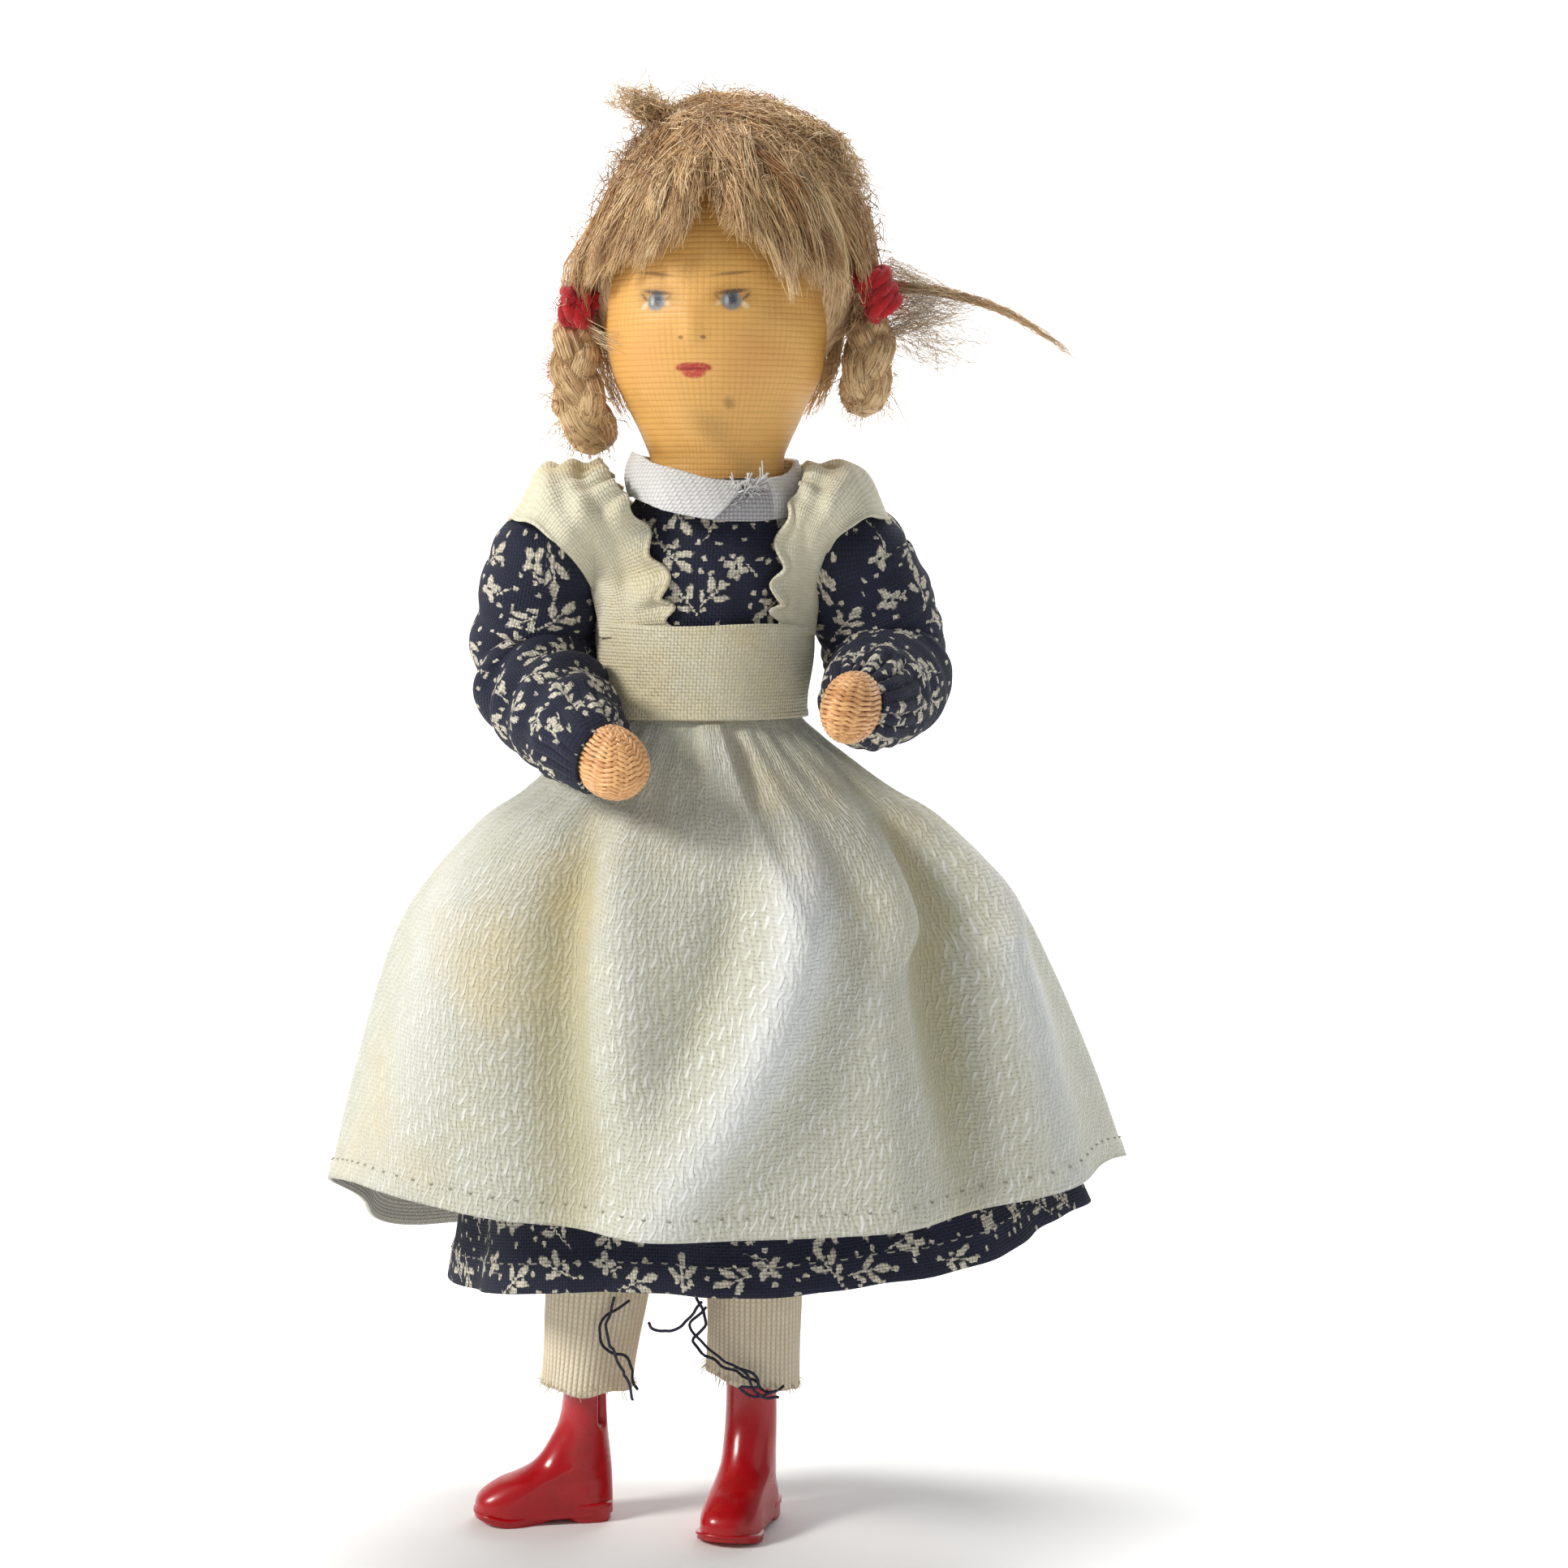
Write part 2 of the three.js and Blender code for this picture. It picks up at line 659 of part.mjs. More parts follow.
// Yarn tie: turns of yarn side by side, one bulge for each
function tieBody(centre, turns, yarn, outer) {
  const profile = [[0, -turns * yarn]];
  for (let i = 0; i < turns; i++) {
    for (let j = 0; j <= 4; j++) {
      const a = -turn / 4 + (turn / 2) * (j / 4);
      const middle = (2 * i + 1 - turns) * yarn;
      const edge = j === 0 || j === 4 ? 0.12 : 0;
      profile.push([outer - yarn + (yarn - 0.1) * Math.cos(a) + edge, middle + yarn * Math.sin(a)]);
    }
  }
  profile.push([0, turns * yarn]);
  return turned(profile, 12).translate(centre.x, centre.y, centre.z);
}
add("hair_tie_right", tieBody(tieRight, 2, 0.65, tieRadius), "yarn");
add("hair_tie_left", tieBody(tieLeft, 3, 0.78, tieRadius - 0.2), "yarn");
const tieRightEnd = point(-12.6, 3.6, neckZ + 8.6);
add("hair_tie_right_end", tieBody(tieRightEnd, 1, 0.7, 1.2), "yarn");

// Wig: mohair over the crown and the back, a fringe to each side of the brow, and one tuft
const hairMiddle = point(-0.2, 0.8, headTop - 8.4);
const bulb = new THREE.SphereGeometry(1, 22, 16);
bulb.rotateX(Math.PI / 2);
bulb.scale(hairWide, hairDeep, hairTall);
bulb.translate(hairMiddle.x, hairMiddle.y, hairMiddle.z);
let wig = solidOf(bulb);
const browFront = new THREE.BoxGeometry(40, 20, 40);
browFront.rotateX(radians(-14));
browFront.translate(0, -12.2, headTop - 26.4);
wig = wig.subtract(solidOf(browFront));
const napeCut = new THREE.BoxGeometry(40, 40, 40);
napeCut.translate(0, 0, neckZ + 4.4 - 20);
wig = wig.subtract(solidOf(napeCut));
const sideCut = new THREE.BoxGeometry(40, 7, 20);
sideCut.translate(0, 0, tieRight.z + 1.5 - 10);
wig = wig.subtract(solidOf(sideCut));
function fringe(points, wide) {
  const curve = new THREE.CatmullRomCurve3(points);
  const rings = [];
  const steps = 8;
  for (let i = 0; i <= steps; i++) {
    const t = i / steps;
    const p = curve.getPoint(t);
    const out = point(p.x - headX, p.y, (p.z - neckZ - 12) * 0.6).normalize();
    const ahead = curve.getTangent(t);
    const across = ahead.clone().cross(out).normalize();
    const half = wide * (1 - 0.55 * t * t);
    const thick = 1.5 - 0.9 * t;
    const ring = [];
    for (let j = 0; j < 10; j++) {
      const a = (turn * j) / 10;
      ring.push(p.clone().addScaledVector(across, half * Math.cos(a)).addScaledVector(out, thick * Math.sin(a)));
    }
    rings.push(ring);
  }
  return solidOf(loft(rings));
}
const brow = (x, y, drop) => point(x, y, headTop - drop);
const fringeRight = [brow(-1, -6.2, 1), brow(-4.6, -7.6, 4.2), brow(-7.7, -6.2, 7.2), brow(-9.4, -3.2, 9.6)];
const fringeLeft = [brow(0, -6.2, 1), brow(2.6, -8, 4.2), brow(4.4, -8, 6.8), brow(5.3, -7.6, 9.2)];
wig = wig.add(fringe(fringeRight, 3.4));
wig = wig.add(fringe(fringeLeft, 2.6));
function tapered(points, base, tip) {
  const curve = new THREE.CatmullRomCurve3(points);
  const path = curve.getPoints(8);
  return loft(ringsAlong(path, path.map((p, i) => THREE.MathUtils.lerp(base, tip, i / 8)), 8));
}
const tuft = [brow(-3.6, -2, 1.2), brow(-5.4, -2.4, -1.8), brow(-8, -2.6, -3.8)];
wig = wig.add(solidOf(tapered(tuft, 1.8, 0.3)));
const skull = turned([[0, neckFoot], ...headProfile(-gap)], 20).translate(headX, 0, 0);
wig = wig.subtract(solidOf(skull));
wig = wig.subtract(ball(tieRight, tieRadius + gap + 0.5));
const tieRoom = new THREE.CylinderGeometry(tieRadius + gap, tieRadius + gap, 8, 12).rotateX(Math.PI / 2);
wig = wig.subtract(solidOf(tieRoom.translate(tieLeft.x, tieLeft.y, tieLeft.z - 0.8)));
wig = wig.decompose().sort((a, b) => b.volume() - a.volume())[0];
add("hair_wig", wig, "hair");
const lockFrom = tieLeft.x + tieRadius + gap;
const lockPath = [
  point(lockFrom, 0.3, tieLeft.z + 0.2),
  point(lockFrom + 2.8, 0, tieLeft.z + 0.1),
  point(lockFrom + 7.6, -0.3, tieLeft.z - 1.3),
  point(lockFrom + 13.35, -0.6, tieLeft.z - 4.9),
];
add("loose_lock", tapered(lockPath, 1.35, 0.25), "hair");

// Arms
const along = (from, to, distance) => from.clone().lerp(to, distance / from.distanceTo(to));
function wadding(from, to, radii, bore) {
  const path = radii.map((r, i) => from.clone().lerp(to, i / (radii.length - 1)));
  const body = solidOf(loft(ringsAlong(path, radii, 12)));
  const reach = to.clone().sub(from).normalize();
  const foot = from.clone().addScaledVector(reach, -2);
  const head = to.clone().addScaledVector(reach, 2);
  return body.subtract(solidOf(straightWire(foot, head, bore)));
}

const bendRoom = 2.6; // from a bending point to the wadding on each side of it
function arm(side, elbow, wrist) {
  const top = shoulder[side];
  const way = sides[side];
  const inner = point(spreadPoint[side].x + (way * wireEnd) / 2, shoulderBack, shoulderZ);
  const outer = point(top.x + way * 0.7, shoulderBack, shoulderZ);
  add("shoulder_wire_" + side, straightWire(inner, outer), "wire");

  const upperFrom = along(top, elbow, wireRadius + wireEnd);
  add("upper_arm_wire_" + side, straightWire(upperFrom, along(elbow, top, wireEnd)), "wire");
  const upperRadii = [armWadding - 1, armWadding - 0.2, armWadding, armWadding - 0.3, armWadding - 1.6];
  const upper = wadding(along(top, elbow, 1.3), along(elbow, top, bendRoom), upperRadii, wireRadius + gap);
  add("upper_arm_wadding_" + side, upper, "wadding");

  const handRoot = along(wrist, elbow, -0.3);
  add("forearm_wire_" + side, straightWire(along(elbow, wrist, wireEnd), along(wrist, elbow, -3.4)), "wire");
  const foreRadii = [armWadding - 1.6, armWadding - 0.6, armWadding - 0.6, cuffRadius - cloth - gap - 0.2];
  const fore = wadding(along(elbow, wrist, bendRoom), wrist, foreRadii, wireRadius + gap);
  add("forearm_wadding_" + side, fore, "wadding");

  const handPath = [];
  const handRadii = [];
  for (let i = 0; i <= 8; i++) {
    const t = -0.92 + (1.86 * i) / 8;
    handPath.push(along(handRoot, elbow, -(handLength / 2) * (1 + t)));
    handRadii.push(handRadius * Math.sqrt(1 - t * t));
  }
  const hand = solidOf(loft(ringsAlong(handPath, handRadii, 12)));
  const palmBore = straightWire(along(wrist, elbow, 2), along(wrist, elbow, -3.4 - gap), wireRadius + gap);
  add("hand_" + side, hand.subtract(solidOf(palmBore)), "floss");

  const corner = 4.4;
  const before = along(elbow, top, corner);
  const after = along(elbow, wrist, corner);
  const bend = new THREE.QuadraticBezierCurve3(before, elbow, after).getPoints(5);
  const cuffEnd = along(wrist, elbow, -0.9);
  const middle = before.clone().lerp(top, 0.5);
  const lower = after.clone().lerp(wrist, 0.6);
  const up = point(0, 0, 1);
  const crown = (r, f) => top.clone().addScaledVector(up, r * f);
  const sleeveRings = (shrink) => {
    const r = sleeveRadius - shrink;
    const path = [crown(r, 0.97), crown(r, 0.72), top, middle, ...bend, lower, wrist, cuffEnd];
    const radii = [r * 0.3, r * 0.72, r, r + 0.1, ...bend.map((p, i) => r - 0.1 - 0.14 * i)];
    radii.push(r - 1.1, cuffRadius - shrink, cuffRadius + 0.1 - shrink);
    return ringsAlong(path, radii, 14);
  };
  let sleeve = solidOf(loft([...sleeveRings(0), ...sleeveRings(cloth).reverse()]));
  const armhole = straightWire(point(torsoX + way * 4, shoulderBack, shoulderZ), top, wireRadius + gap + 0.6);
  sleeve = sleeve.subtract(solidOf(armhole));
  add("sleeve_" + side, sleeve, "print");
}
arm("right", elbow.right, point(...wristRight));
arm("left", elbow.left, point(...wristLeft));

// Seat: a roll of wadding on the hip wire, slotted where the spine comes down to it
const hipRight = torsoX - hipSpread;
const hipLeft = torsoX + hipSpread;
add("hip_wire", straightWire(point(hipRight, 0, hipZ), point(hipLeft, 0, hipZ)), "wire");
function seatBody() {
  const rings = [];
  const steps = 8;
  for (let i = 0; i <= steps; i++) {
    const t = -0.95 + (1.9 * i) / steps;
    const r = seatRadius * Math.sqrt(1 - t * t * t * t);
    const ring = [];
    for (let j = 0; j < 16; j++) {
      const a = (turn * j) / 16;
      ring.push(point(torsoX + seatWide * t, r * Math.cos(a), hipZ + r * Math.sin(a)));
    }
    rings.push(ring);
  }
  return solidOf(loft(rings));
}
const hipBore = straightWire(point(hipRight - gap, 0, hipZ), point(hipLeft + gap, 0, hipZ), wireRadius + gap);
// Slot for a wire that leaves the hip wire and swings, from one angle to another, back to front over the top
function seatSlot(x, half, from, to) {
  const sector = new THREE.Shape();
  const reach = seatRadius + 1;
  sector.moveTo(0, 0);
  sector.lineTo(reach * Math.cos(radians(from)), reach * Math.sin(radians(from)));
  sector.absarc(0, 0, reach, radians(from), radians(to), false);
  const body = new THREE.ExtrudeGeometry(sector, { depth: 2 * half, bevelEnabled: false, curveSegments: 5 });
  body.rotateY(Math.PI / 2).rotateX(Math.PI / 2).translate(x - half, 0, hipZ);
  return solidOf(body);
}
let seat = seatBody().subtract(solidOf(hipBore));
seat = seat.subtract(seatSlot(torsoX, spineRadius + gap, 30, 225));
for (const x of [hipRight, hipLeft]) {
  seat = seat.subtract(seatSlot(x, wireRadius + gap + 0.4, 218, 322));
}
add("seat_wadding", seat, "wadding");

// Legs
function leg(side, hipX, ankleX, stockingRadius) {
  const hip = point(hipX, 0, hipZ);
  const ankle = point(ankleX, 0, ankleZ);
  const knee = hip.clone().lerp(ankle, kneeShare);
  const inside = Math.min(legWadding, stockingRadius - cloth - legRoom);
  add("thigh_wire_" + side, straightWire(along(hip, knee, wireRadius + wireEnd), along(knee, hip, wireEnd)), "wire");
  const thighRadii = [inside - 0.5, inside, inside - 0.1, inside - 1];
  const thigh = wadding(along(hip, knee, seatRadius + 0.6), along(knee, hip, 2), thighRadii, wireRadius + gap);
  add("thigh_wadding_" + side, thigh, "wadding");

  const bend = point(ankleX, 0, bootTop + 0.6);
  const shinCurve = new THREE.CatmullRomCurve3([
    along(knee, ankle, wireEnd),
    along(knee, ankle, 6),
    bend,
    point(ankleX, 0, 8),
    point(ankleX, 0, 3),
  ]);
  add("shin_wire_" + side, wire(shinCurve, 10), "wire");
  const shinFoot = along(ankle, knee, bootTop + 1.2 - ankleZ);
  const shinPath = [0, 0.34, 0.67, 1].map((t) => along(knee, ankle, 2).lerp(shinFoot, t));
  const shinRadii = [inside - 1, inside - 0.2, inside - 0.4, inside - 0.8];
  const shinBody = solidOf(loft(ringsAlong(shinPath, shinRadii, 12)));
  const shinBore = wire(shinCurve, 10, wireRadius + gap);
  const boreStart = straightWire(knee, along(knee, ankle, 3), wireRadius + gap);
  add("shin_wadding_" + side, shinBody.subtract(solidOf(shinBore)).subtract(solidOf(boreStart)), "wadding");

  const stockingTop = along(hip, knee, seatRadius + 1.2);
  const stockingFoot = point(ankleX, 0, stockingHem);
  const stockingRings = (shrink) => {
    const rings = [];
    for (let i = 0; i <= 6; i++) {
      const p = stockingTop.clone().lerp(stockingFoot, i / 6);
      const r = stockingRadius - 0.25 * Math.sin((Math.PI * i) / 6) - shrink;
      rings.push(oval(p.x, 0, p.z, r, r, 18));
    }
    return rings;
  };
  add("stocking_" + side, loft([...stockingRings(0), ...stockingRings(cloth).reverse()], true), "knit");
}
leg("right", hipRight, ankleRight, stockingRight);
leg("left", hipLeft, ankleLeft, stockingLeft);

// Boots: one moulding each, with a welt, a heel, a socket for the leg wire and a slot down the back
function bootBody() {
  const back = through([[0, bootHeel], [4, bootHeel - 0.05], [8, bootHeel - 0.4], [bootTop, bootHeel - 0.5]]);
  const front = through([
    [0.6, bootToe - 0.1],
    [2, bootToe - 0.35],
    [3.1, bootToe - 1.7],
    [3.7, bootToe - 3.2],
    [4.6, bootToe - 4.8],
    [6.2, bootToe - 6],
    [8.4, bootToe - 6.9],
    [bootTop, bootToe - 7.4],
  ]);
  const half = through([
    [0.6, bootHalfWidth],
    [2.4, bootHalfWidth - 0.1],
    [4, bootHalfWidth - 0.4],
    [6, bootHalfWidth - 0.55],
    [bootTop, bootHalfWidth - 0.65],
  ]);
  const rings = [];
  for (const z of [soleThick - 0.4, 1.7, 2.5, 3.1, 3.7, 4.6, 6, 8.4, bootTop]) {
    const middle = (front(z) - back(z)) / 2;
    const reach = (front(z) + back(z)) / 2;
    const ring = [];
    for (let j = 0; j < 16; j++) {
      const a = (turn * j) / 16;
      const nip = Math.exp(-(((Math.cos(a) + 0.1) / 0.45) ** 2));
      const waist = 1 - 0.14 * nip * THREE.MathUtils.smoothstep(reach, 3, 5);
      ring.push(point(middle + reach * Math.cos(a), half(z) * Math.sin(a) * waist, z));
    }
    rings.push(ring);
  }
  const outline = new THREE.Shape();
  const welt = 0.25;
  const w = bootHalfWidth + welt - 0.1;
  outline.moveTo(-bootHeel - 0.1, 0);
  outline.bezierCurveTo(-bootHeel - 0.1, -w * 0.85, 0.6, -w * 0.95, 2.2, -w * 0.78);
  outline.bezierCurveTo(4.2, -w * 0.75, 4.6, -w * 1.05, 6.2, -w);
  outline.bezierCurveTo(8, -w * 0.9, bootToe + 0.1, -w * 0.5, bootToe + 0.1, 0);
  outline.bezierCurveTo(bootToe + 0.1, w * 0.5, 8, w * 0.9, 6.2, w);
  outline.bezierCurveTo(4.6, w * 1.05, 4.2, w * 0.75, 2.2, w * 0.78);
  outline.bezierCurveTo(0.6, w * 0.95, -bootHeel - 0.1, w * 0.85, -bootHeel - 0.1, 0);
  const sole = new THREE.ExtrudeGeometry(outline, { depth: soleThick, bevelEnabled: false, curveSegments: 4 });
  const arch = new THREE.CylinderGeometry(2.1, 2.1, 12, 16);
  arch.translate(2, 0, -1.4);
  const socket = new THREE.CylinderGeometry(wireRadius + gap, wireRadius + gap, bootTop, 12);
  socket.rotateX(Math.PI / 2).translate(0, 0, bootTop / 2 + 2.4);
  const slot = new THREE.BoxGeometry(4, 1.1, 8);
  slot.translate(-2, 0, bootTop - 0.6);
  let body = solidOf(loft(rings)).add(solidOf(sole));
  body = body.subtract(solidOf(arch));
  body = body.subtract(solidOf(socket));
  return body.subtract(solidOf(slot));
}
function boot(side, ankleX, angle) {
  const shape = geometryOf(bootBody());
  shape.rotateZ(radians(angle));
  shape.translate(ankleX, 0, 0);
  add("boot_" + side, shape, "boot");
}
boot("right", ankleRight, bootTurnRight);
boot("left", ankleLeft, bootTurnLeft);

export default root;
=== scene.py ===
import bmesh
import bpy
import math
import numpy as np
from functools import partialmethod
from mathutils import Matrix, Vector


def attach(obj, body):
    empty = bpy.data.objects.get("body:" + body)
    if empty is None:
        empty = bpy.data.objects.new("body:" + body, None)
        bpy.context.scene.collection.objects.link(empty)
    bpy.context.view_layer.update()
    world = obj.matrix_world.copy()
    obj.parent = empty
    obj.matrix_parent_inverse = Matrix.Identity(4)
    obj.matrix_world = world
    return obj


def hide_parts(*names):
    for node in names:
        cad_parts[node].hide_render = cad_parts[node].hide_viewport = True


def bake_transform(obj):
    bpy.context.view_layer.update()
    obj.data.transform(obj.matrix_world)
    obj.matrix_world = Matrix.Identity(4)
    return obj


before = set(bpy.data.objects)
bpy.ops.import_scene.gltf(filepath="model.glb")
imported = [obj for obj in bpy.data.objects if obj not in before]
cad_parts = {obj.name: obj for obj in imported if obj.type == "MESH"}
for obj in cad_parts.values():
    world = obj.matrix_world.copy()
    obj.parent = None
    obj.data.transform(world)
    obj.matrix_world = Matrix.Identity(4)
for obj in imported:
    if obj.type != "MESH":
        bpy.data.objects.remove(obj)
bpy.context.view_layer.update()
mm = 0.001
fullTurn = 2 * math.pi
sideNames = {"right": -1, "left": 1}


# small numpy helpers; this one is 0 below low and 1 above high, with a smooth rise between
def smoothstep(x, low, high):
    t = np.clip((x - low) / (high - low), 0, 1)
    return t * t * (3 - 2 * t)


# from a to b by share t
def lerp(a, b, t):
    return a + (b - a) * t


# each vector over its own length
def unit(v):
    return v / np.maximum(np.linalg.norm(v, axis=-1, keepdims=True), 1e-9)


# a bell of height 1 about at
def bump(x, at, wide):
    return np.exp(-(((x - at) / wide) ** 2))


# coordinates spread to one shape and set side by side
def stacked(*parts):
    return np.stack(np.broadcast_arrays(*parts), -1)


# even steps from 0 to 1
def shares(count):
    return np.linspace(0, 1, count)


# even steps round a ring, without the last, which is the first again
def ringAngles(count):
    return np.arange(count) * fullTurn / count


# directions about a path, turned by a from side towards up
def around(a, side, up):
    return np.cos(a)[..., None] * side + np.sin(a)[..., None] * up


# length of the path up to each point, as the sum of its steps
def lengthAlong(path):
    return np.concatenate([[0], np.cumsum(np.linalg.norm(np.diff(path, axis=0), axis=1))])


# points at equal steps along the path
def resample(path, count):
    s = lengthAlong(path)
    at = np.linspace(0, s[-1], count)
    return np.stack([np.interp(at, s, line) for line in path.T], 1)


# Catmull-Rom curve through the points, with equal steps along it
def spline(points, count, even=True):
    p = np.asarray(points, float)
    p = np.vstack([2 * p[0] - p[1], p, 2 * p[-1] - p[-2]])
    t = np.linspace(0, len(p) - 3, 24 * (len(p) - 3) + 1)
    i = np.minimum(t.astype(int), len(p) - 4)
    f = (t - i)[:, None]
    a, b, c, d = (p[i + k] for k in range(4))
    curve = 0.5 * (2 * b + (c - a) * f + (2 * a - 5 * b + 4 * c - d) * f**2 + (3 * b - a - 3 * c + d) * f**3)
    return resample(curve, count) if even else curve


# y as a smooth function of x, through the points
def through(points):
    curve = spline(points, 0, even=False)
    return lambda x: np.interp(x, curve[:, 0], curve[:, 1])


# two directions across a path, at right angles to each other
def framesAlong(path, ref):
    ahead = unit(np.gradient(path, axis=0))
    side = unit(np.cross(ahead, np.broadcast_to(np.asarray(ref, float), path.shape)))
    return side, np.cross(side, ahead)


# smooth noise over any array of numbers: a few sines of unlike pitch
def ripple(x, seed, pitch=1.0):
    draw = np.random.default_rng(seed)
    total = np.zeros_like(x, float)
    for k in range(4):
        total = total + np.sin(x * pitch * draw.uniform(0.6, 1.7) + draw.uniform(0, 6.3)) / 4
    return total


# mesh helpers, all in millimetres; this one joins each point of a grid to the next across and down
def gridFaces(rows, cols, loop=False):
    r = np.arange(rows - 1)[:, None] * cols
    c = np.arange(cols if loop else cols - 1)[None]
    n = (c + 1) % cols
    return stacked(r + c, r + n, r + cols + n, r + cols + c).reshape(-1, 4)


# a mesh object from points, faces in sets with the same number of corners, and a uv for each corner
def newObject(name, points, faces, look, cornerUv=None):
    mesh = bpy.data.meshes.new(name)
    sizes = np.concatenate([np.full(len(f), f.shape[1]) for f in faces])
    loops = np.concatenate([f.ravel() for f in faces]).astype(np.int32)
    starts = np.concatenate([[0], np.cumsum(sizes)[:-1]]).astype(np.int32)
    mesh.vertices.add(len(points))
    mesh.vertices.foreach_set("co", (points * mm).astype(np.float32).ravel())
    mesh.loops.add(len(loops))
    mesh.loops.foreach_set("vertex_index", loops)
    mesh.polygons.add(len(sizes))
    mesh.polygons.foreach_set("loop_start", starts)
    mesh.update(calc_edges=True)
    if cornerUv is not None:
        layer = mesh.uv_layers.new(name="flat")
        layer.uv.foreach_set("vector", cornerUv.astype(np.float32).ravel())
    mesh.validate()
    mesh.polygons.foreach_set("use_smooth", np.full(len(mesh.polygons), True))
    piece = bpy.data.objects.new(name, mesh)
    bpy.context.scene.collection.objects.link(piece)
    mesh.materials.append(look)
    return piece


# one sheet or tube: rows x cols points, and uv in mm with one more column where it loops
def gridPart(points, uv, loop=False, flip=False):
    faces = gridFaces(*points.shape[:2], loop)
    corner = uv.reshape(-1, 2)[gridFaces(*uv.shape[:2])]
    if flip:
        faces, corner = faces[:, ::-1], corner[:, ::-1]
    return points.reshape(-1, 3), faces, corner.reshape(-1, 2)


# several grids in one mesh: each one's faces are counted on from the points before it
def joinGrids(name, parts, look):
    points, faces, corners = zip(*parts)
    shift = np.cumsum([0] + [len(p) for p in points])
    faces = np.concatenate([f + first for f, first in zip(faces, shift)])
    return newObject(name, np.concatenate(points), [faces], look, np.concatenate(corners))


# one grid as a piece
def gridPiece(name, points, look, uv, loop=False, flip=False):
    return joinGrids(name, [gridPart(points, uv, loop, flip)], look)


# closes the poles of a round form and turns its faces outwards
def closeForm(piece):
    form = bmesh.new()
    form.from_mesh(piece.data)
    bmesh.ops.remove_doubles(form, verts=form.verts, dist=2e-6)
    holes = [e for e in form.edges if e.is_boundary]
    if holes:
        bmesh.ops.holes_fill(form, edges=holes, sides=0)
    bmesh.ops.recalc_face_normals(form, faces=form.faces)
    form.to_mesh(piece.data)
    form.free()
    return piece


# many strands in one mesh: paths is strands x points x 3, radii broadcasts to strands x points
def strandPiece(name, paths, radii, look, tint, sides=3):
    count, steps = paths.shape[:2]
    ahead = unit(np.gradient(paths, axis=1))
    ref = unit(np.random.default_rng(len(name)).normal(size=(count, 1, 3)))
    side = unit(np.cross(ahead, np.broadcast_to(ref, ahead.shape)))
    up = np.cross(side, ahead)
    r = np.broadcast_to(radii, (count, steps))[..., None, None]
    points = paths[:, :, None] + r * around(ringAngles(sides), side[:, :, None], up[:, :, None])
    first = np.arange(count)[:, None] * steps * sides
    base = first[..., None] + np.arange(steps - 1)[:, None] * sides
    k = np.arange(sides)
    n = (k + 1) % sides
    quads = stacked(base + k, base + n, base + sides + n, base + sides + k)
    caps = np.concatenate([first + k[::-1], first + (steps - 1) * sides + k])
    # u is the strand's tint, v the share of its length
    uv = stacked(np.reshape(tint, (-1, 1, 1)), shares(steps)[:, None], np.zeros(sides))[..., :2].reshape(-1, 2)
    corners = uv[np.concatenate([quads.ravel(), caps.ravel()])]
    return newObject(name, points.reshape(-1, 3), [quads.reshape(-1, 4), caps], look, corners)


# tube of changing radius along a path, with uv in mm round and along it
def tubeGrid(path, radii, count, ref):
    side, up = framesAlong(path, ref)
    r = np.asarray(radii, float)
    r = r if r.ndim == 2 else r[:, None] + np.zeros(count)
    points = path[:, None] + r[..., None] * around(ringAngles(count), side[:, None], up[:, None])
    girth = ringAngles(count)[1] * np.arange(count + 1) * r.mean()
    return points, stacked(girth[None], lengthAlong(path)[:, None])


# millimetres to the frame's metres
def vec(p):
    return tuple(float(x) * mm for x in p)


# colours are given as they look on screen, 0 to 255
def rgb(*screen):
    c = np.array(screen) / 255
    c = np.where(c <= 0.04045, c / 12.92, ((c + 0.055) / 1.055) ** 2.4)
    return (*c.tolist(), 1.0)


# one shader value: arithmetic on it adds Math nodes, and an index picks another output of its node
class Wire:
    def __init__(self, socket):
        self.socket, self.tree = socket, socket.id_data

    def __getitem__(self, key):
        return Wire(self.socket.node.outputs[key])

    def calc(self, op, *others):
        return put(self.tree, "Math", {"operation": op}, self, *others)

    __add__ = partialmethod(calc, "ADD")
    __sub__ = partialmethod(calc, "SUBTRACT")
    __mul__ = partialmethod(calc, "MULTIPLY")
    __truediv__ = partialmethod(calc, "DIVIDE")
    __pow__ = partialmethod(calc, "POWER")
    __abs__ = partialmethod(calc, "ABSOLUTE")
    sine = partialmethod(calc, "SINE")
    fract = partialmethod(calc, "FRACT")

    def __rsub__(self, other):
        return put(self.tree, "Math", {"operation": "SUBTRACT"}, other, self)

    def ranged(self, low, high, toLow=0.0, toHigh=1.0):
        return put(self.tree, "MapRange", {"interpolation_type": "SMOOTHSTEP"}, self, low, high, toLow, toHigh)

    def grain(self, scale, detail=3.0, rough=0.55, dims="3D"):
        noise = {"noise_dimensions": dims}
        return put(self.tree, "TexNoise", noise, Vector=self, Scale=scale, Detail=detail, Roughness=rough)

    def vector(self, op, *others):
        return put(self.tree, "VectorMath", {"operation": op}, self, *others)

    def turned(self, angle):
        return put(self.tree, "VectorRotate", {"rotation_type": "Z_AXIS"}, Vector=self, Angle=angle)

    def stretched(self, *scale):
        return put(self.tree, "Mapping", None, self, None, None, scale)

    def axes(self):
        return put(self.tree, "SeparateXYZ", None, self)


# links a wire to a socket, or sets a plain value in it
def plug(tree, socket, value):
    if isinstance(value, Wire):
        tree.links.new(value.socket, socket)
    elif value is not None:
        socket.default_value = value


# adds a node with its settings and inputs, and gives its first output
def put(tree, kind, settings=None, *inputs, **named):
    node = tree.nodes.new("ShaderNode" + kind)
    for key, value in (settings or {}).items():
        setattr(node, key, value)
    for key, value in [*enumerate(inputs), *named.items()]:
        plug(tree, node.inputs[key], value)
    return Wire(node.outputs[0])


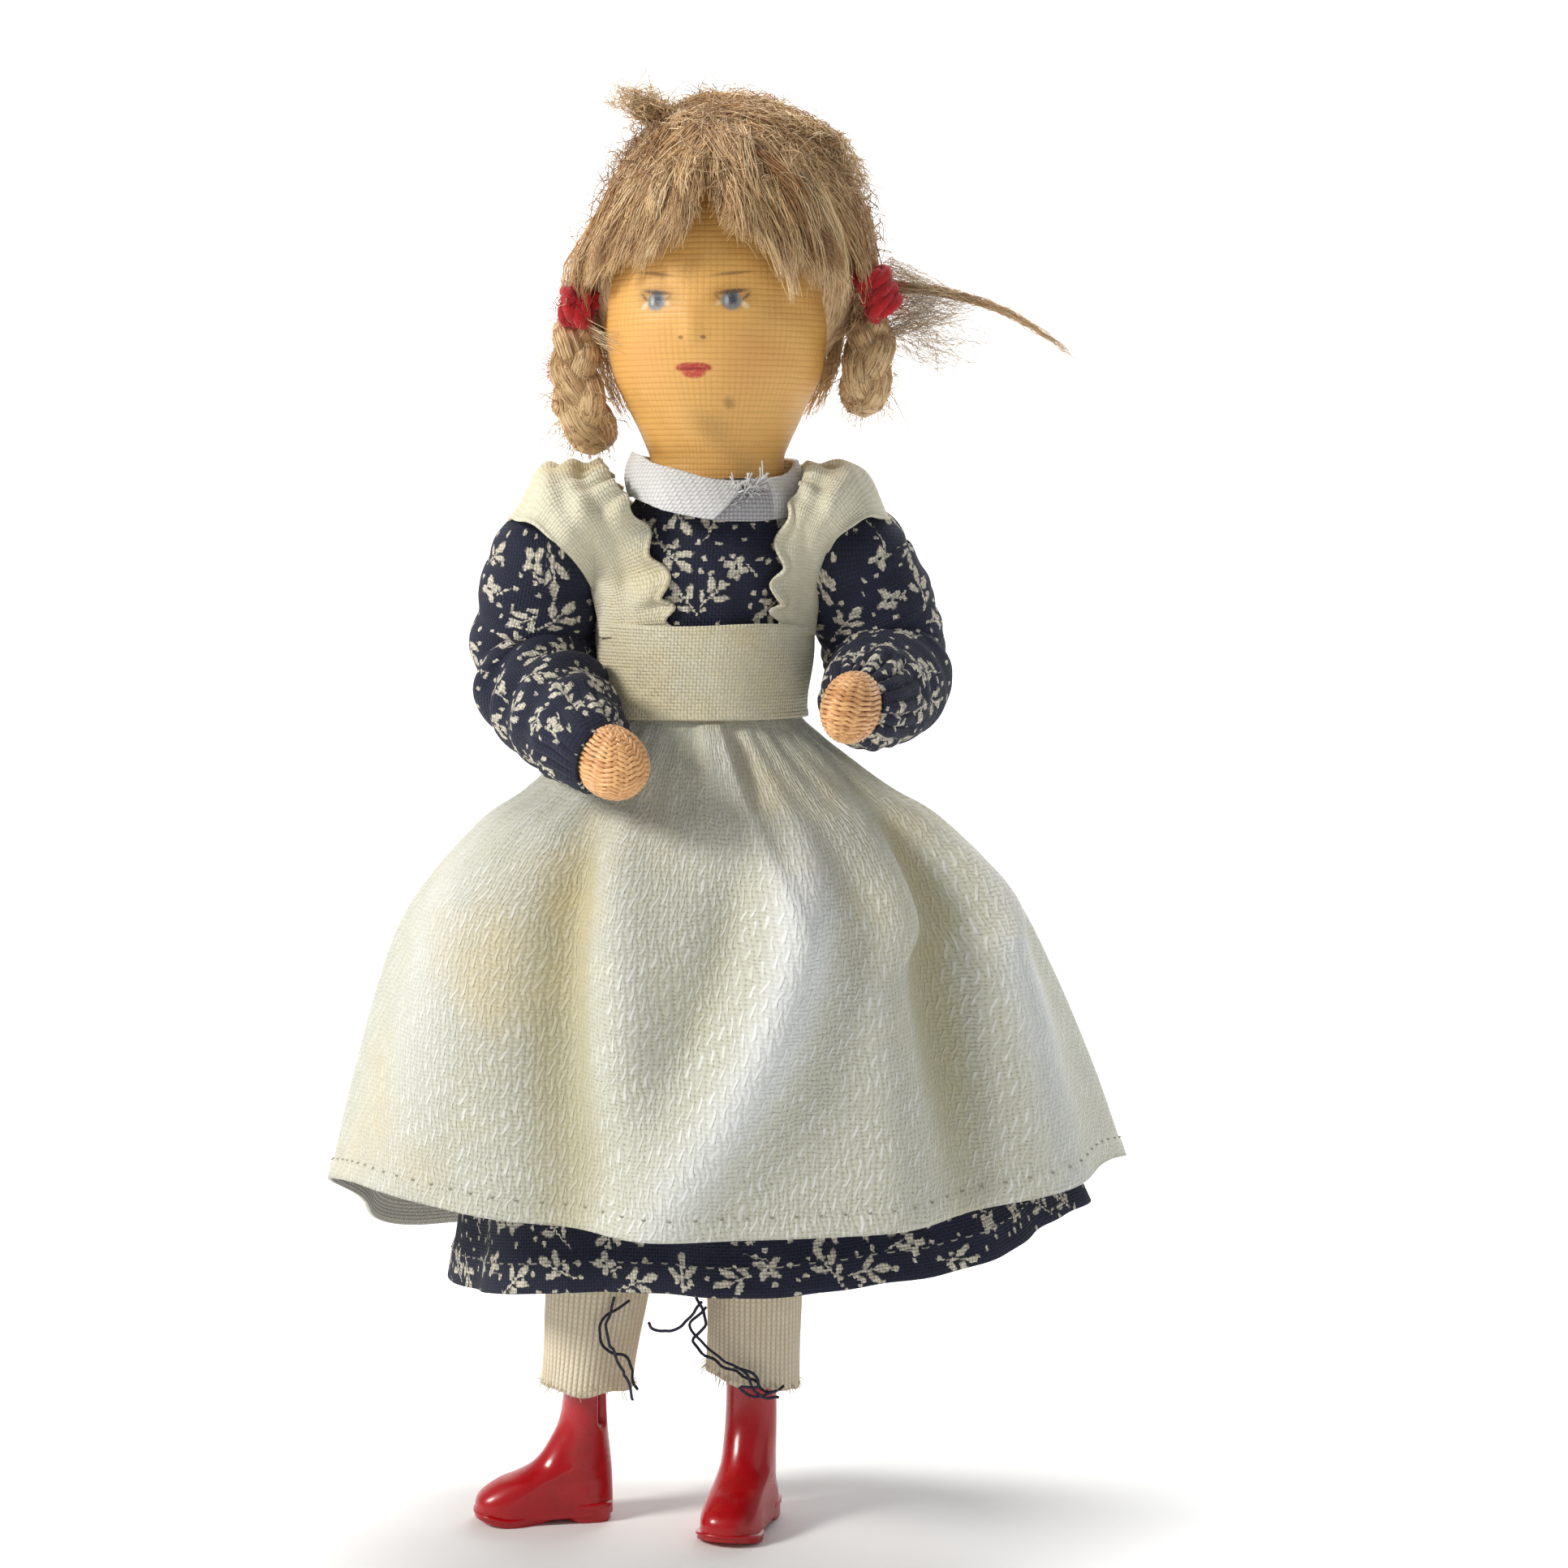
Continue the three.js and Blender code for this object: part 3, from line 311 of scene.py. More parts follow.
# a vector from x and y
def joinAxes(x, y):
    return put(x.tree, "CombineXYZ", None, x, y, 1.0)


# from colour a to b by share
def mixColour(share, a, b):
    return put(share.tree, "Mix", {"data_type": "RGBA"}, share, *[None] * 5, a, b)[2]


# from value a to b by share
def mixFloat(share, a, b):
    return put(share.tree, "Mix", {"data_type": "FLOAT"}, share, None, a, b)


# tints laid over a colour in turn, each with its own share
def layered(colour, *layers):
    for share, tint in layers:
        colour = mixColour(share, colour, tint)
    return colour


# a shader group takes a vector and named numbers; give links what it returns
def newGroup(name, floats, *outputs):
    tree = bpy.data.node_groups.new(name, "ShaderNodeTree")
    tree.interface.new_socket("Vector", in_out="INPUT", socket_type="NodeSocketVector")
    for title, value in floats.items():
        tree.interface.new_socket(title, in_out="INPUT", socket_type="NodeSocketFloat").default_value = value
    for title in outputs:
        tree.interface.new_socket(title, in_out="OUTPUT", socket_type="NodeSocketFloat")
    given = Wire(tree.nodes.new("NodeGroupInput").outputs[0])
    result = tree.nodes.new("NodeGroupOutput")

    # links the results to the group's outputs
    def give(*values):
        for socket, value in zip(result.inputs, values):
            plug(tree, socket, value)
        return tree

    return given, give


# places a group with its own values
def use(group, vector, **inputs):
    return put(vector.tree, "Group", {"node_tree": group}, Vector=vector, **inputs)


# a material with plain values; an underscore stands for the space in a socket's name
def newLook(name, **sockets):
    look = bpy.data.materials.new(name)
    look.use_nodes = True
    for key, value in sockets.items():
        look.node_tree.nodes["Principled BSDF"].inputs[key.replace("_", " ")].default_value = value
    return look


# links colour, roughness and a bump's height to the shader
def feed(look, colour, rough=None, height=None, distance=0.0001, strength=1.0):
    tree = look.node_tree
    shader = tree.nodes["Principled BSDF"].inputs
    plug(tree, shader["Base Color"], colour)
    if rough is not None:
        plug(tree, shader["Roughness"], rough)
    if height is not None:
        plug(tree, shader["Normal"], put(tree, "Bump", None, Strength=strength, Distance=distance, Height=height))
    return look


# the piece's own uv: mm on cloth, tint and share of the length on strands
def flatUv(look):
    return put(look.node_tree, "UVMap", {"uv_map": "flat"})


# place on the object, in metres
def objectAt(look):
    return put(look.node_tree, "TexCoord")["Object"]


# shader group: a soft oval on the flat cloth, for painted marks
def makeSpotGroup():
    sizes = {"X": 0, "Y": 0, "Wide": 1, "Tall": 1, "Turn": 0, "Blur": 0.3}
    given, give = newGroup("softOval", sizes, "Mask")
    local = given["Vector"].vector("SUBTRACT", joinAxes(given["X"], given["Y"]))
    shape = local.turned(given["Turn"]).vector("DIVIDE", joinAxes(given["Wide"], given["Tall"]))
    far = shape.vector("MULTIPLY", (1, 1, 0)).vector("LENGTH")["Value"]
    return give(far.ranged(1.0 - given["Blur"], given["Blur"] + 1.0, 1.0, 0.0))


# shader group: plain weave, each thread going over and under; pitch is in mm across and down
def makeWeaveGroup():
    given, give = newGroup("plainWeave", {"Across": 0.3, "Down": 0.3}, "Height", "Over")
    at = given["Vector"].axes()
    x, y = at[0] / given["Across"], at[1] / given["Down"]
    over = (x.calc("FLOOR") + y.calc("FLOOR")).calc("PINGPONG", 1.0)
    roundX, roundY = ((k.fract() * math.pi).sine() for k in (x, y))
    warp = roundX * (roundY * 0.5 + 0.5)
    weft = roundY * (roundX * 0.5 + 0.5)
    return give(mixFloat(over, warp, weft), over)


# shader group: broken twill; slanted floats in columns over a plain ground with pin holes, sizes in mm
def makeTwillGroup():
    sizes = {"Column": 0.68, "Float": 1.36, "Thread": 0.34}
    given, give = newGroup("brokenTwill", sizes, "Height", "Raised", "Holes")
    at = given["Vector"].axes()
    x = at[0] / given["Column"]
    y = at[1] / given["Float"] + x.calc("FLOOR") * 0.37
    along = y.fract() - 0.5
    aside = abs(x.fract() - (along * -0.6 + 0.5))
    raised = aside.ranged(0.06, 0.22, 1.0, 0.0) * abs(along).ranged(0.34, 0.47, 1.0, 0.0)
    ground = use(plainWeave, given["Vector"], Across=given["Thread"], Down=given["Thread"])
    edge = [abs((at[k] / given["Thread"]).fract() - 0.5) for k in (0, 1)]
    holes = (edge[0] * edge[1]).ranged(0.08, 0.2) * (raised * -0.7 + 1.0)
    return give((ground * 0.6).calc("MAXIMUM", raised), raised, holes)


# shader group: age and soil, soft blots on the object's own coordinates
def makeSoilGroup():
    given, give = newGroup("ageSoil", {"Scale": 60, "Low": 0.5, "High": 0.72}, "Blots", "Specks")
    blots = given["Vector"].grain(given["Scale"], 4.0, 0.6).ranged(given["Low"], given["High"])
    return give(blots, given["Vector"].grain(given["Scale"] * 14.0, 1.0).ranged(0.68, 0.76))


# shader group: small calico print; sprigs, blossoms and dots, each turned at random in its own cell
sprigLeaves = [(0.0, 1.25, 0.29, 0.6, 0.0), (-0.62, 0.55, 0.25, 0.62, -0.75), (0.6, 0.25, 0.24, 0.58, 0.8),
               (-0.5, -0.45, 0.2, 0.46, -0.7), (0.0, -0.2, 0.08, 1.5, 0.05)]
blossomStalk = (0.3, -1.15, 0.08, 0.75, 0.35)


# the print is where a cell's leaves, four-lobed petals or dot are; its edges step with the threads
def makeCalicoGroup():
    given, give = newGroup("calicoPrint", {"Cell": 3.35, "Thread": 0.24}, "Print")
    tree, flat = given.tree, given["Vector"]
    jitter = put(tree, "TexNoise", {"noise_dimensions": "2D"}, Vector=flat, Scale=3.2, Detail=1.0)[1]
    loose = flat.vector("ADD", jitter.vector("MULTIPLY_ADD", (0.3, 0.3, 0), (-0.15, -0.15, 0)))
    snapped = loose.vector("SNAP", joinAxes(given["Thread"], given["Thread"]))
    where = put(tree, "Mix", {"data_type": "VECTOR"}, 0.55, None, None, None, loose, snapped)[1]

    # each cell's seed, and random numbers for it
    def cells(scale, loose):
        settings = {"voronoi_dimensions": "2D", "feature": "F1"}
        cell = put(tree, "TexVoronoi", settings, Vector=where, Scale=scale, Randomness=loose)
        return cell, put(tree, "SeparateColor", None, cell["Color"])

    cell, pick = cells(put(tree, "Math", {"operation": "DIVIDE"}, 1.0, given["Cell"]), 0.62)
    local = where.vector("SUBTRACT", cell["Position"]).turned(pick[0] * fullTurn)

    # a soft oval in the cell's own turn
    def leaf(x, y, wide, tall, lean):
        return use(softOval, local, X=x, Y=y, Wide=wide, Tall=tall, Turn=lean, Blur=0.16)

    sprig = leaf(*sprigLeaves[0])
    for one in sprigLeaves[1:]:
        sprig = sprig.calc("MAXIMUM", leaf(*one))
    xy = local.axes()
    far = local.vector("LENGTH")["Value"]
    petal = (xy[1].calc("ARCTAN2", xy[0]) * 4.0).calc("COSINE") * 0.26 + 0.66
    blossom = (far - petal).ranged(-0.08, 0.08, 1.0, 0.0) * far.ranged(0.12, 0.2)
    blossom = blossom.calc("MAXIMUM", leaf(*blossomStalk))
    motif = mixFloat(pick[1].calc("GREATER_THAN", 0.42), blossom, sprig)
    dots, dotPick = cells(0.78, 0.8)
    dot = dots["Distance"].ranged(0.12, 0.17, 1.0, 0.0) * dotPick[1].calc("GREATER_THAN", 0.35)
    return give(motif.calc("MAXIMUM", dot))


softOval = makeSpotGroup()
plainWeave = makeWeaveGroup()
brokenTwill = makeTwillGroup()
ageSoil = makeSoilGroup()
calicoPrint = makeCalicoGroup()

# camera, light and floor
view = {"target": (4.4, 0, 57.6), "distance": 265, "elevation": 5, "span": 120.75}
lamps = {
    "key": {"at": (-430, -190, 330), "to": (0, 0, 60), "size": 130, "power": 2.35, "tint": (1.0, 0.97, 0.93)},
    "fill": {"at": (380, -260, 170), "to": (0, 0, 60), "size": 380, "power": 0.2, "tint": (0.95, 0.97, 1.0)},
    "rim": {"at": (120, 380, 330), "to": (0, 0, 60), "size": 260, "power": 0.8, "tint": (1.0, 1.0, 1.0)},
    "backdrop": {"at": (0, 420, 1300), "to": (0, 1700, 300), "size": 900, "power": 30.0, "tint": (1.0, 1.0, 1.0)},
}
sky = {"tint": (0.93, 0.95, 1.0, 1), "power": 0.3}
sweep = {"half": 3000, "flat": 900, "bend": 700, "tall": 3200}


# an object put at a place and aimed at the target
def placed(name, data, at, target):
    thing = bpy.data.objects.new(name, data)
    thing.location = at
    thing.rotation_euler = (target - thing.location).to_track_quat("-Z", "Y").to_euler()
    bpy.context.scene.collection.objects.link(thing)
    return thing


# the lens takes in the span at the target's distance
def setCamera():
    lens = bpy.data.cameras.new("camera")
    lens.angle = 2 * math.atan(view["span"] / 2 / view["distance"])
    lens.clip_start = 0.005
    tilt = math.radians(view["elevation"])
    target = Vector(vec(view["target"]))
    at = target + Vector((0, -math.cos(tilt), math.sin(tilt))) * view["distance"] * mm
    bpy.context.scene.camera = placed("camera", lens, at, target)


# area lamps, each aimed at its own point, and an even sky
def setLight():
    for name, lamp in lamps.items():
        data = bpy.data.lights.new(name, "AREA")
        data.size = lamp["size"] * mm
        data.energy = lamp["power"]
        data.color = lamp["tint"]
        placed(name, data, vec(lamp["at"]), Vector(vec(lamp["to"])))
    world = bpy.data.worlds.new("room")
    bpy.context.scene.world = world
    world.use_nodes = True
    background = world.node_tree.nodes["Background"].inputs
    background[0].default_value = sky["tint"]
    background[1].default_value = sky["power"]
    bpy.context.scene.view_settings.view_transform = "Standard"


# pale sweep: flat floor that curves up far behind the doll
def setFloor():
    look = newLook("paleFloor", Roughness=0.9)
    feed(look, mixColour(objectAt(look).grain(9.0), rgb(236, 235, 233), rgb(245, 245, 244)))
    half, flat, bend = sweep["half"], sweep["flat"], sweep["bend"]
    a = np.linspace(0, math.pi / 2, 16)
    y = np.concatenate([[-half, flat], flat + bend * np.sin(a), [flat + bend]])[:, None]
    z = np.concatenate([[0, 0], bend - bend * np.cos(a), [sweep["tall"]]])[:, None]
    points = stacked(np.linspace(-half, half, 5)[None], y, z)
    floor = newObject("floor", points.reshape(-1, 3), [gridFaces(len(y), 5)], look)


setCamera()
setLight()
setFloor()
print("camera, light and floor set")

# looks of the doll's own materials
tones = {
    "skinLit": rgb(226, 174, 96), "skinShade": rgb(202, 147, 70), "hairMid": rgb(238, 202, 148),
    "hairDark": rgb(156, 108, 60), "hairLight": rgb(252, 230, 186), "yarnRed": rgb(186, 14, 24),
    "yarnDark": rgb(130, 6, 16), "apron": rgb(238, 240, 236), "apronShade": rgb(200, 200, 184),
    "apronAge": rgb(222, 200, 140), "white": rgb(236, 236, 234), "grey": rgb(212, 211, 209),
    "navy": rgb(28, 34, 60), "navyDark": rgb(12, 14, 28), "print": rgb(236, 230, 212), "floss": rgb(238, 186, 126),
    "flossDark": rgb(194, 132, 76), "knit": rgb(240, 229, 204), "knitDark": rgb(202, 184, 148),
    "boot": rgb(176, 4, 16), "thread": rgb(30, 31, 46), "stitch": rgb(150, 146, 132),
}
hairTones = [tones["hairDark"], tones["hairMid"], tones["hairLight"]]
face = {"yaw": 11.5, "eyeOut": 2.97, "eyeZ": 94.2, "browZ": 96.1, "noseZ": 91.4, "mouthZ": 89.1, "nose": 0.28}


# the face's paint: tint, share, place, half width, half height, turn and blur of each soft oval
def paintMarks():
    e, z, mouth = face["eyeOut"], face["eyeZ"], face["mouthZ"]
    marks = []
    for x in (-1, 1):
        marks += [
            ((216, 128, 74), 0.2, x * 4.6, 89.9, 2.6, 1.8, 0, 0.9),
            ((140, 92, 36), 0.45, x * e, z + 0.2, 1.7, 0.9, 0, 0.5),
            ((232, 208, 164), 0.55, x * (e - 0.95), z - 0.28, 0.3, 0.18, x * -0.5, 0.6),
            ((236, 212, 172), 0.85, x * (e + 1.0), z - 0.42, 0.32, 0.2, x * 0.6, 0.6),
            ((108, 122, 132), 0.92, x * e, z - 0.1, 0.78, 0.7, 0, 0.25),
            ((46, 54, 64), 0.9, x * e + 0.08, z + 0.02, 0.36, 0.42, 0, 0.5),
            ((196, 204, 208), 0.6, x * e - 0.36, z - 0.1, 0.15, 0.3, 0, 0.6),
            ((52, 46, 42), 0.85, x * (e + 0.06), z + 0.56, 1.1, 0.17, x * -0.1, 0.5),
            ((70, 54, 40), 0.7, x * (e + 1.14), z + 0.24, 0.4, 0.13, x * -0.75, 0.6),
            ((70, 54, 40), 0.4, x * (e - 1.06), z + 0.14, 0.32, 0.12, x * 0.7, 0.6),
            ((112, 80, 44), 0.7, x * (e + 0.1), face["browZ"], 1.45, 0.12, x * -0.1, 0.7),
            ((120, 66, 34), 0.75, x * 0.85, face["noseZ"], 0.2, 0.14, 0, 0.5),
        ]
    return marks + [
        ((176, 44, 42), 0.95, -0.62, mouth + 0.16, 0.86, 0.3, -0.12, 0.25),
        ((176, 44, 42), 0.95, 0.62, mouth + 0.16, 0.86, 0.3, 0.12, 0.25),
        ((186, 52, 46), 0.95, 0.0, mouth - 0.25, 0.95, 0.42, 0, 0.25),
        ((126, 26, 30), 0.8, 0.0, mouth + 0.02, 1.15, 0.09, 0, 0.5),
        # painted shade under the chin: two dark brown ovals towards the doll's left
        ((96, 72, 40), 0.5, 3.0, 86.6, 0.5, 0.4, 0.3, 0.8),
        ((110, 84, 46), 0.35, 1.2, 84.9, 1.9, 1.0, 0.3, 0.9),
    ]


# painted cloth: rows of weave under paint, and the features laid on as soft ovals
def makeSkinLook():
    look = newLook("paintedCloth", Roughness=0.5)
    flat = flatUv(look)
    at = flat.axes()
    wander = flat.grain(0.9, 2.0, dims="2D")
    rows = abs((wander * 0.6 + at[1] * (math.pi / 0.43)).sine())
    columns = abs((wander * 0.9 + at[0] * (math.pi / 0.5)).sine())
    worn = flat.grain(0.35, 2.0, dims="2D").ranged(0.35, 0.65, 0.5, 0.9)
    cells = (rows * (1.0 - worn * (1.0 - columns))) ** 0.6
    soil = use(ageSoil, objectAt(look), Scale=95.0, Low=0.5, High=0.78)
    lit = cells.ranged(0.0, 0.75, 0.35, 1.0)
    colour = layered(tones["skinShade"], (lit, tones["skinLit"]), (soil * 0.4, rgb(178, 118, 44)))
    rough = flat.grain(5.0, 2.0, dims="2D").ranged(0.25, 0.6, 0.7, 1.0)
    for tint, share, x, y, wide, tall, turn, blur in paintMarks():
        mask = use(softOval, flat, X=x, Y=y, Wide=wide, Tall=tall, Turn=turn, Blur=blur)
        colour = mixColour(mask * (rough * share), colour, rgb(*tint))
    return feed(look, colour, height=cells, distance=0.00005, strength=0.55)


# hair: tint by strand, with painted shade towards the root, where strands lie under the others
def makeHairLook(name, dark, mid, light):
    look = newLook(name, Roughness=0.42, Sheen_Weight=0.15)
    at = flatUv(look).axes()
    blotch = objectAt(look).grain(420.0).ranged(0.45, 0.7, 0.0, 0.3)
    # painted shade: each strand darker towards its root
    root = at[1].ranged(0.0, 0.3, 0.35, 0.0)
    byStrand = [(at[0].ranged(0.0, 0.55), mid), (at[0].ranged(0.55, 1.0), light)]
    return feed(look, layered(dark, *byStrand, (root, dark), (blotch, dark)))


# a form of combed hair: long fine grooves along the lock
def makeCombedLook(name, dark, mid, light):
    look = newLook(name, Roughness=0.45, Sheen_Weight=0.15)
    fibre = flatUv(look).stretched(9.0, 0.7, 1.0).grain(1.0, 4.0, 0.65, "2D")
    colour = layered(dark, (fibre.ranged(0.3, 0.52), mid), (fibre.ranged(0.52, 0.75), light))
    return feed(look, colour, height=fibre, distance=0.00025, strength=0.8)


# yarn and floss: tint by strand and by a fine fibre
def makeFibreLook(name, sockets, scale, byStrand, byFibre, high, dark, light, distance):
    look = newLook(name, **sockets)
    strand = flatUv(look).axes()
    fibre = objectAt(look).grain(scale, 2.0)
    share = (strand * byStrand + fibre * byFibre).ranged(0.2, high)
    return feed(look, mixColour(share, dark, light), height=fibre, distance=distance)


# cream broken twill, yellowed in blots, with painted shade in its fold valleys and a painted highlight on its ridges
def makeApronLook():
    look = newLook("apronTwill", Roughness=0.78, Sheen_Weight=0.2)
    flat = flatUv(look)
    warped = put(flat.tree, "TexNoise", {"noise_dimensions": "2D"}, Vector=flat, Scale=0.35, Detail=2.0)[1]
    flat = warped.vector("MULTIPLY_ADD", (0.9, 0.9, 0), flat)
    twill = use(brokenTwill, flat)
    raised, holes = twill["Raised"], twill["Holes"]
    soil = use(ageSoil, objectAt(look), Scale=42.0, Low=0.47, High=0.75)
    faint = flat.grain(0.5, 3.0, 0.6, "2D").ranged(0.35, 0.65, 0.15, 0.65)
    clear = flat.grain(1.3, 2.0, 0.6, "2D").ranged(0.3, 0.65, 0.25, 0.85)
    fold = put(flat.tree, "Attribute", {"attribute_name": "fold"})["Fac"]
    colour = layered(
        tones["apronShade"], (raised * faint, tones["apron"]), (holes * clear, rgb(150, 145, 118)),
        # painted shade in the fold valleys, a cool painted highlight on the ridges
        (fold.ranged(0.05, 0.46, 0.62, 0.0), rgb(178, 170, 128)),
        (fold.ranged(0.58, 0.95, 0.0, 0.5), rgb(242, 246, 250)),
        (soil * 0.5, tones["apronAge"]), (soil["Specks"] * 0.06, rgb(120, 100, 60)))
    return feed(look, colour, raised.ranged(0.0, 1.0, 0.85, 0.55), twill, 0.0001, 0.9)


# the apron's reverse: the same twill painted darker, as painted shade inside the skirt
def makeReverseLook():
    look = newLook("apronReverseShade", Roughness=0.9)
    weave = use(plainWeave, flatUv(look), Across=0.27, Down=0.27)
    return feed(look, mixColour(weave, rgb(150, 149, 140), rgb(190, 189, 180)), height=weave, distance=0.00007)


# the bib, band and straps: the same cotton in plain weave, with slubs, more soiled by handling
def makeStrapLook():
    look = newLook("strapCotton", Roughness=0.82, Sheen_Weight=0.2)
    flat = flatUv(look)
    weave = use(plainWeave, flat, Across=0.24, Down=0.26)
    slub = flat.stretched(0.9, 4.5, 1.0).grain(1.0, 3.0, 0.6, "2D")
    soil = use(ageSoil, objectAt(look), Scale=90.0, Low=0.42, High=0.72)
    colour = layered(rgb(208, 202, 172), (weave, rgb(228, 224, 200)),
                     (slub.ranged(0.5, 0.75, 0.0, 0.4), rgb(240, 238, 224)), (soil * 0.45, tones["apronAge"]))
    crinkle = flat.grain(0.55, 3.0, 0.55, "2D")
    return feed(look, colour, None, crinkle * 3.5 + (slub * 0.7 + weave), 0.0001, 0.8)


# navy cotton: dark or light by the weave, faded in blots, printed where it isn't worn
def makePrintLook():
    look = newLook("printedCotton", Roughness=0.9, Sheen_Weight=0.03)
    flat = flatUv(look)
    weave = use(plainWeave, flat, Across=0.23, Down=0.25)
    worn = flat.grain(2.4, 4.0, 0.7, "2D").ranged(0.3, 0.6, 0.5, 1.0)
    faded = objectAt(look).grain(260.0).ranged(0.45, 0.75, 0.0, 0.22)
    motif = mixColour(weave, rgb(178, 170, 148), tones["print"])
    colour = layered(tones["navyDark"], (weave, tones["navy"]), (faded, rgb(44, 50, 76)),
                     (use(calicoPrint, flat) * worn, motif))
    return feed(look, colour, height=weave, distance=0.00008, strength=0.8)


# the collar's cotton, with painted shade on the end that is lapped under: greyer there
def makeWhiteLook():
    look = newLook("whiteCotton", Roughness=0.85, Sheen_Weight=0.15)
    flat = flatUv(look)
    weave = use(plainWeave, flat, Across=0.27, Down=0.27)
    soil = use(ageSoil, objectAt(look), Scale=160.0, Low=0.45, High=0.8)
    # painted shade: the lapped-under end is greyer
    lappedShade = flat.axes().ranged(6.6, 7.0, 0.75, 0.0)
    colour = layered(tones["grey"], (weave, tones["white"]), (soil * 0.4, rgb(190, 188, 180)),
                     (lappedShade, mixColour(weave, rgb(120, 118, 122), rgb(178, 176, 182))))
    return feed(look, colour, height=weave, distance=0.0001, strength=0.9)


# fine knit: rows of V stitches on the flat cloth
def makeKnitLook():
    look = newLook("knitCotton", Roughness=0.9, Sheen_Weight=0.3)
    at = flatUv(look).axes()
    x = (at[0] / 0.5).fract()
    stitch = ((at[1] / 0.42 + abs(x - 0.5)).fract() * math.pi).sine()
    height = (x * math.pi).sine() ** 0.6 * (stitch * 0.4 + 0.6)
    soil = use(ageSoil, objectAt(look), Scale=110.0, Low=0.45, High=0.75)
    colour = layered(tones["knitDark"], (height, tones["knit"]), (soil * 0.45, rgb(196, 170, 128)))
    return feed(look, colour, height=height, distance=0.00012, strength=0.9)


# moulded plastic: darker in worn blots and specks, its gloss uneven
def makeBootLook():
    look = newLook("redPlastic", Roughness=0.26, Coat_Weight=0.1, Specular_IOR_Level=0.5)
    where = objectAt(look)
    wear = use(ageSoil, where, Scale=180.0, Low=0.5, High=0.8)
    colour = layered(tones["boot"], (wear, rgb(150, 2, 12)), (wear["Specks"] * 0.3, rgb(90, 8, 14)))
    return feed(look, colour, where.grain(300.0).ranged(0.3, 0.7, 0.2, 0.36), where.grain(320.0), 0.00003, 0.2)


# iron: bare or rusty by a fine noise, rougher where it is rusty
def makeWireLook():
    look = newLook("ironWire", Metallic=1.0)
    rust = objectAt(look).grain(700.0).ranged(0.5, 0.7)
    return feed(look, mixColour(rust, rgb(98, 94, 92), rgb(96, 62, 40)), rust.ranged(0, 1, 0.35, 0.8), rust, 0.00003)


# wadding: dark or pale by a fine noise of fibres
def makeWaddingLook():
    look = newLook("cottonWadding", Roughness=0.95, Sheen_Weight=0.4)
    fibre = objectAt(look).grain(1500.0, 5.0, 0.7)
    return feed(look, mixColour(fibre, rgb(206, 192, 164), rgb(240, 234, 220)), height=fibre, distance=0.0002)


# thread: tint by strand, with a fine twist along it
def makeThreadLook(name, dark, light):
    look = newLook(name, Roughness=0.8)
    at = flatUv(look).axes()
    twist = (at[1] * 160.0).sine()
    return feed(look, mixColour(at[0] * 0.6 + twist * 0.2, dark, light))


looks = {
    "skin": makeSkinLook(), "hair": makeHairLook("mohair", *hairTones),
    "combed": makeCombedLook("combedMohair", *hairTones),
    "looseHair": makeHairLook("looseMohair", rgb(128, 92, 56), rgb(184, 146, 102), rgb(222, 192, 150)),
    "paleHair": makeHairLook("paleMohair", rgb(168, 138, 100), rgb(212, 186, 148), rgb(240, 224, 196)),
    "yarn": makeFibreLook("redYarn", {"Roughness": 0.85, "Sheen_Weight": 0.25}, 2600.0, 0.5, 0.5, 0.7,
                          tones["yarnDark"], tones["yarnRed"], 0.0001),
    "floss": makeFibreLook("peachFloss", {"Roughness": 0.28, "Sheen_Weight": 0.2}, 3400.0, 0.45, 0.6, 0.75,
                           tones["flossDark"], tones["floss"], 0.00004),
    "apron": makeApronLook(), "apronReverseShade": makeReverseLook(), "strap": makeStrapLook(), "print": makePrintLook(),
    "white": makeWhiteLook(), "knit": makeKnitLook(), "boot": makeBootLook(), "wire": makeWireLook(),
    "wadding": makeWaddingLook(), "navyThread": makeThreadLook("navyThread", tones["thread"], rgb(70, 72, 92)),
    "greyThread": makeThreadLook("greyThread", tones["stitch"], rgb(170, 164, 146)),
    "whiteThread": makeThreadLook("whiteThread", tones["grey"], tones["white"]),
    "knitThread": makeThreadLook("knitThread", tones["knitDark"], tones["knit"]),
}
for name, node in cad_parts.items():
    node.data.materials.clear()
    node.data.materials.append(looks["wire"] if "wire" in name else looks["wadding"])
print("looks made:", len(looks))


# hangs the piece on the body it rides, if any, and hides the CAD nodes it stands for
def finishPiece(piece, slot, body, *replaced):
    if body:
        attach(piece, body)
    if replaced:
        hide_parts(*replaced)
    return piece


# a grid given the cloth's thickness; offset is the side it goes to
def clothPiece(name, points, look, uv, thick, offset=-1.0, loop=False, flip=False):
    piece = gridPiece(name, points, looks[look], uv, loop, flip)
    wall = piece.modifiers.new("cloth", "SOLIDIFY")
    wall.thickness = thick * mm
    wall.offset = offset
    wall.use_rim = True
    return piece


# short fibres that curl away from their roots
def frayPiece(name, root, reach, curl, steps, thick, look, palest, draw):
    n = len(root)
    s = shares(steps)[:, None]
    paths = root[:, None] + reach[:, None] * s + draw.normal(0, curl, (n, 1, 3)) * s**2
    return strandPiece(name, paths, thick, looks[look], draw.uniform(palest, 1, n))


armature = {
    "torsoX": -2.0, "headX": -0.7, "neckZ": 81.0,
    "shoulder": {"right": (-13.6, 0.5, 75.2), "left": (9.6, 0.5, 75.2)},
    "elbow": {"right": (-15.4, 1.8, 65.8), "left": (13.1, 2.2, 65.9)},
    "wrist": {"right": (-9.9, -12.2, 61.3), "left": (10.2, -10.4, 64.4)},
    "hip": {"right": (-6.6, 0, 50), "left": (2.6, 0, 50)},
    "ankle": {"right": (-11, 0, 12), "left": (1.9, 0, 12)},
}


# a side's joints by name
def joints(side, *names):
    return [np.array(armature[name][side], float) for name in names]


# the point at a distance from a, on the line to b
def toward(a, b, distance):
    return a + unit(b - a) * distance


armature["knee"] = {side: lerp(*joints(side, "hip", "ankle"), 0.55) for side in sideNames}

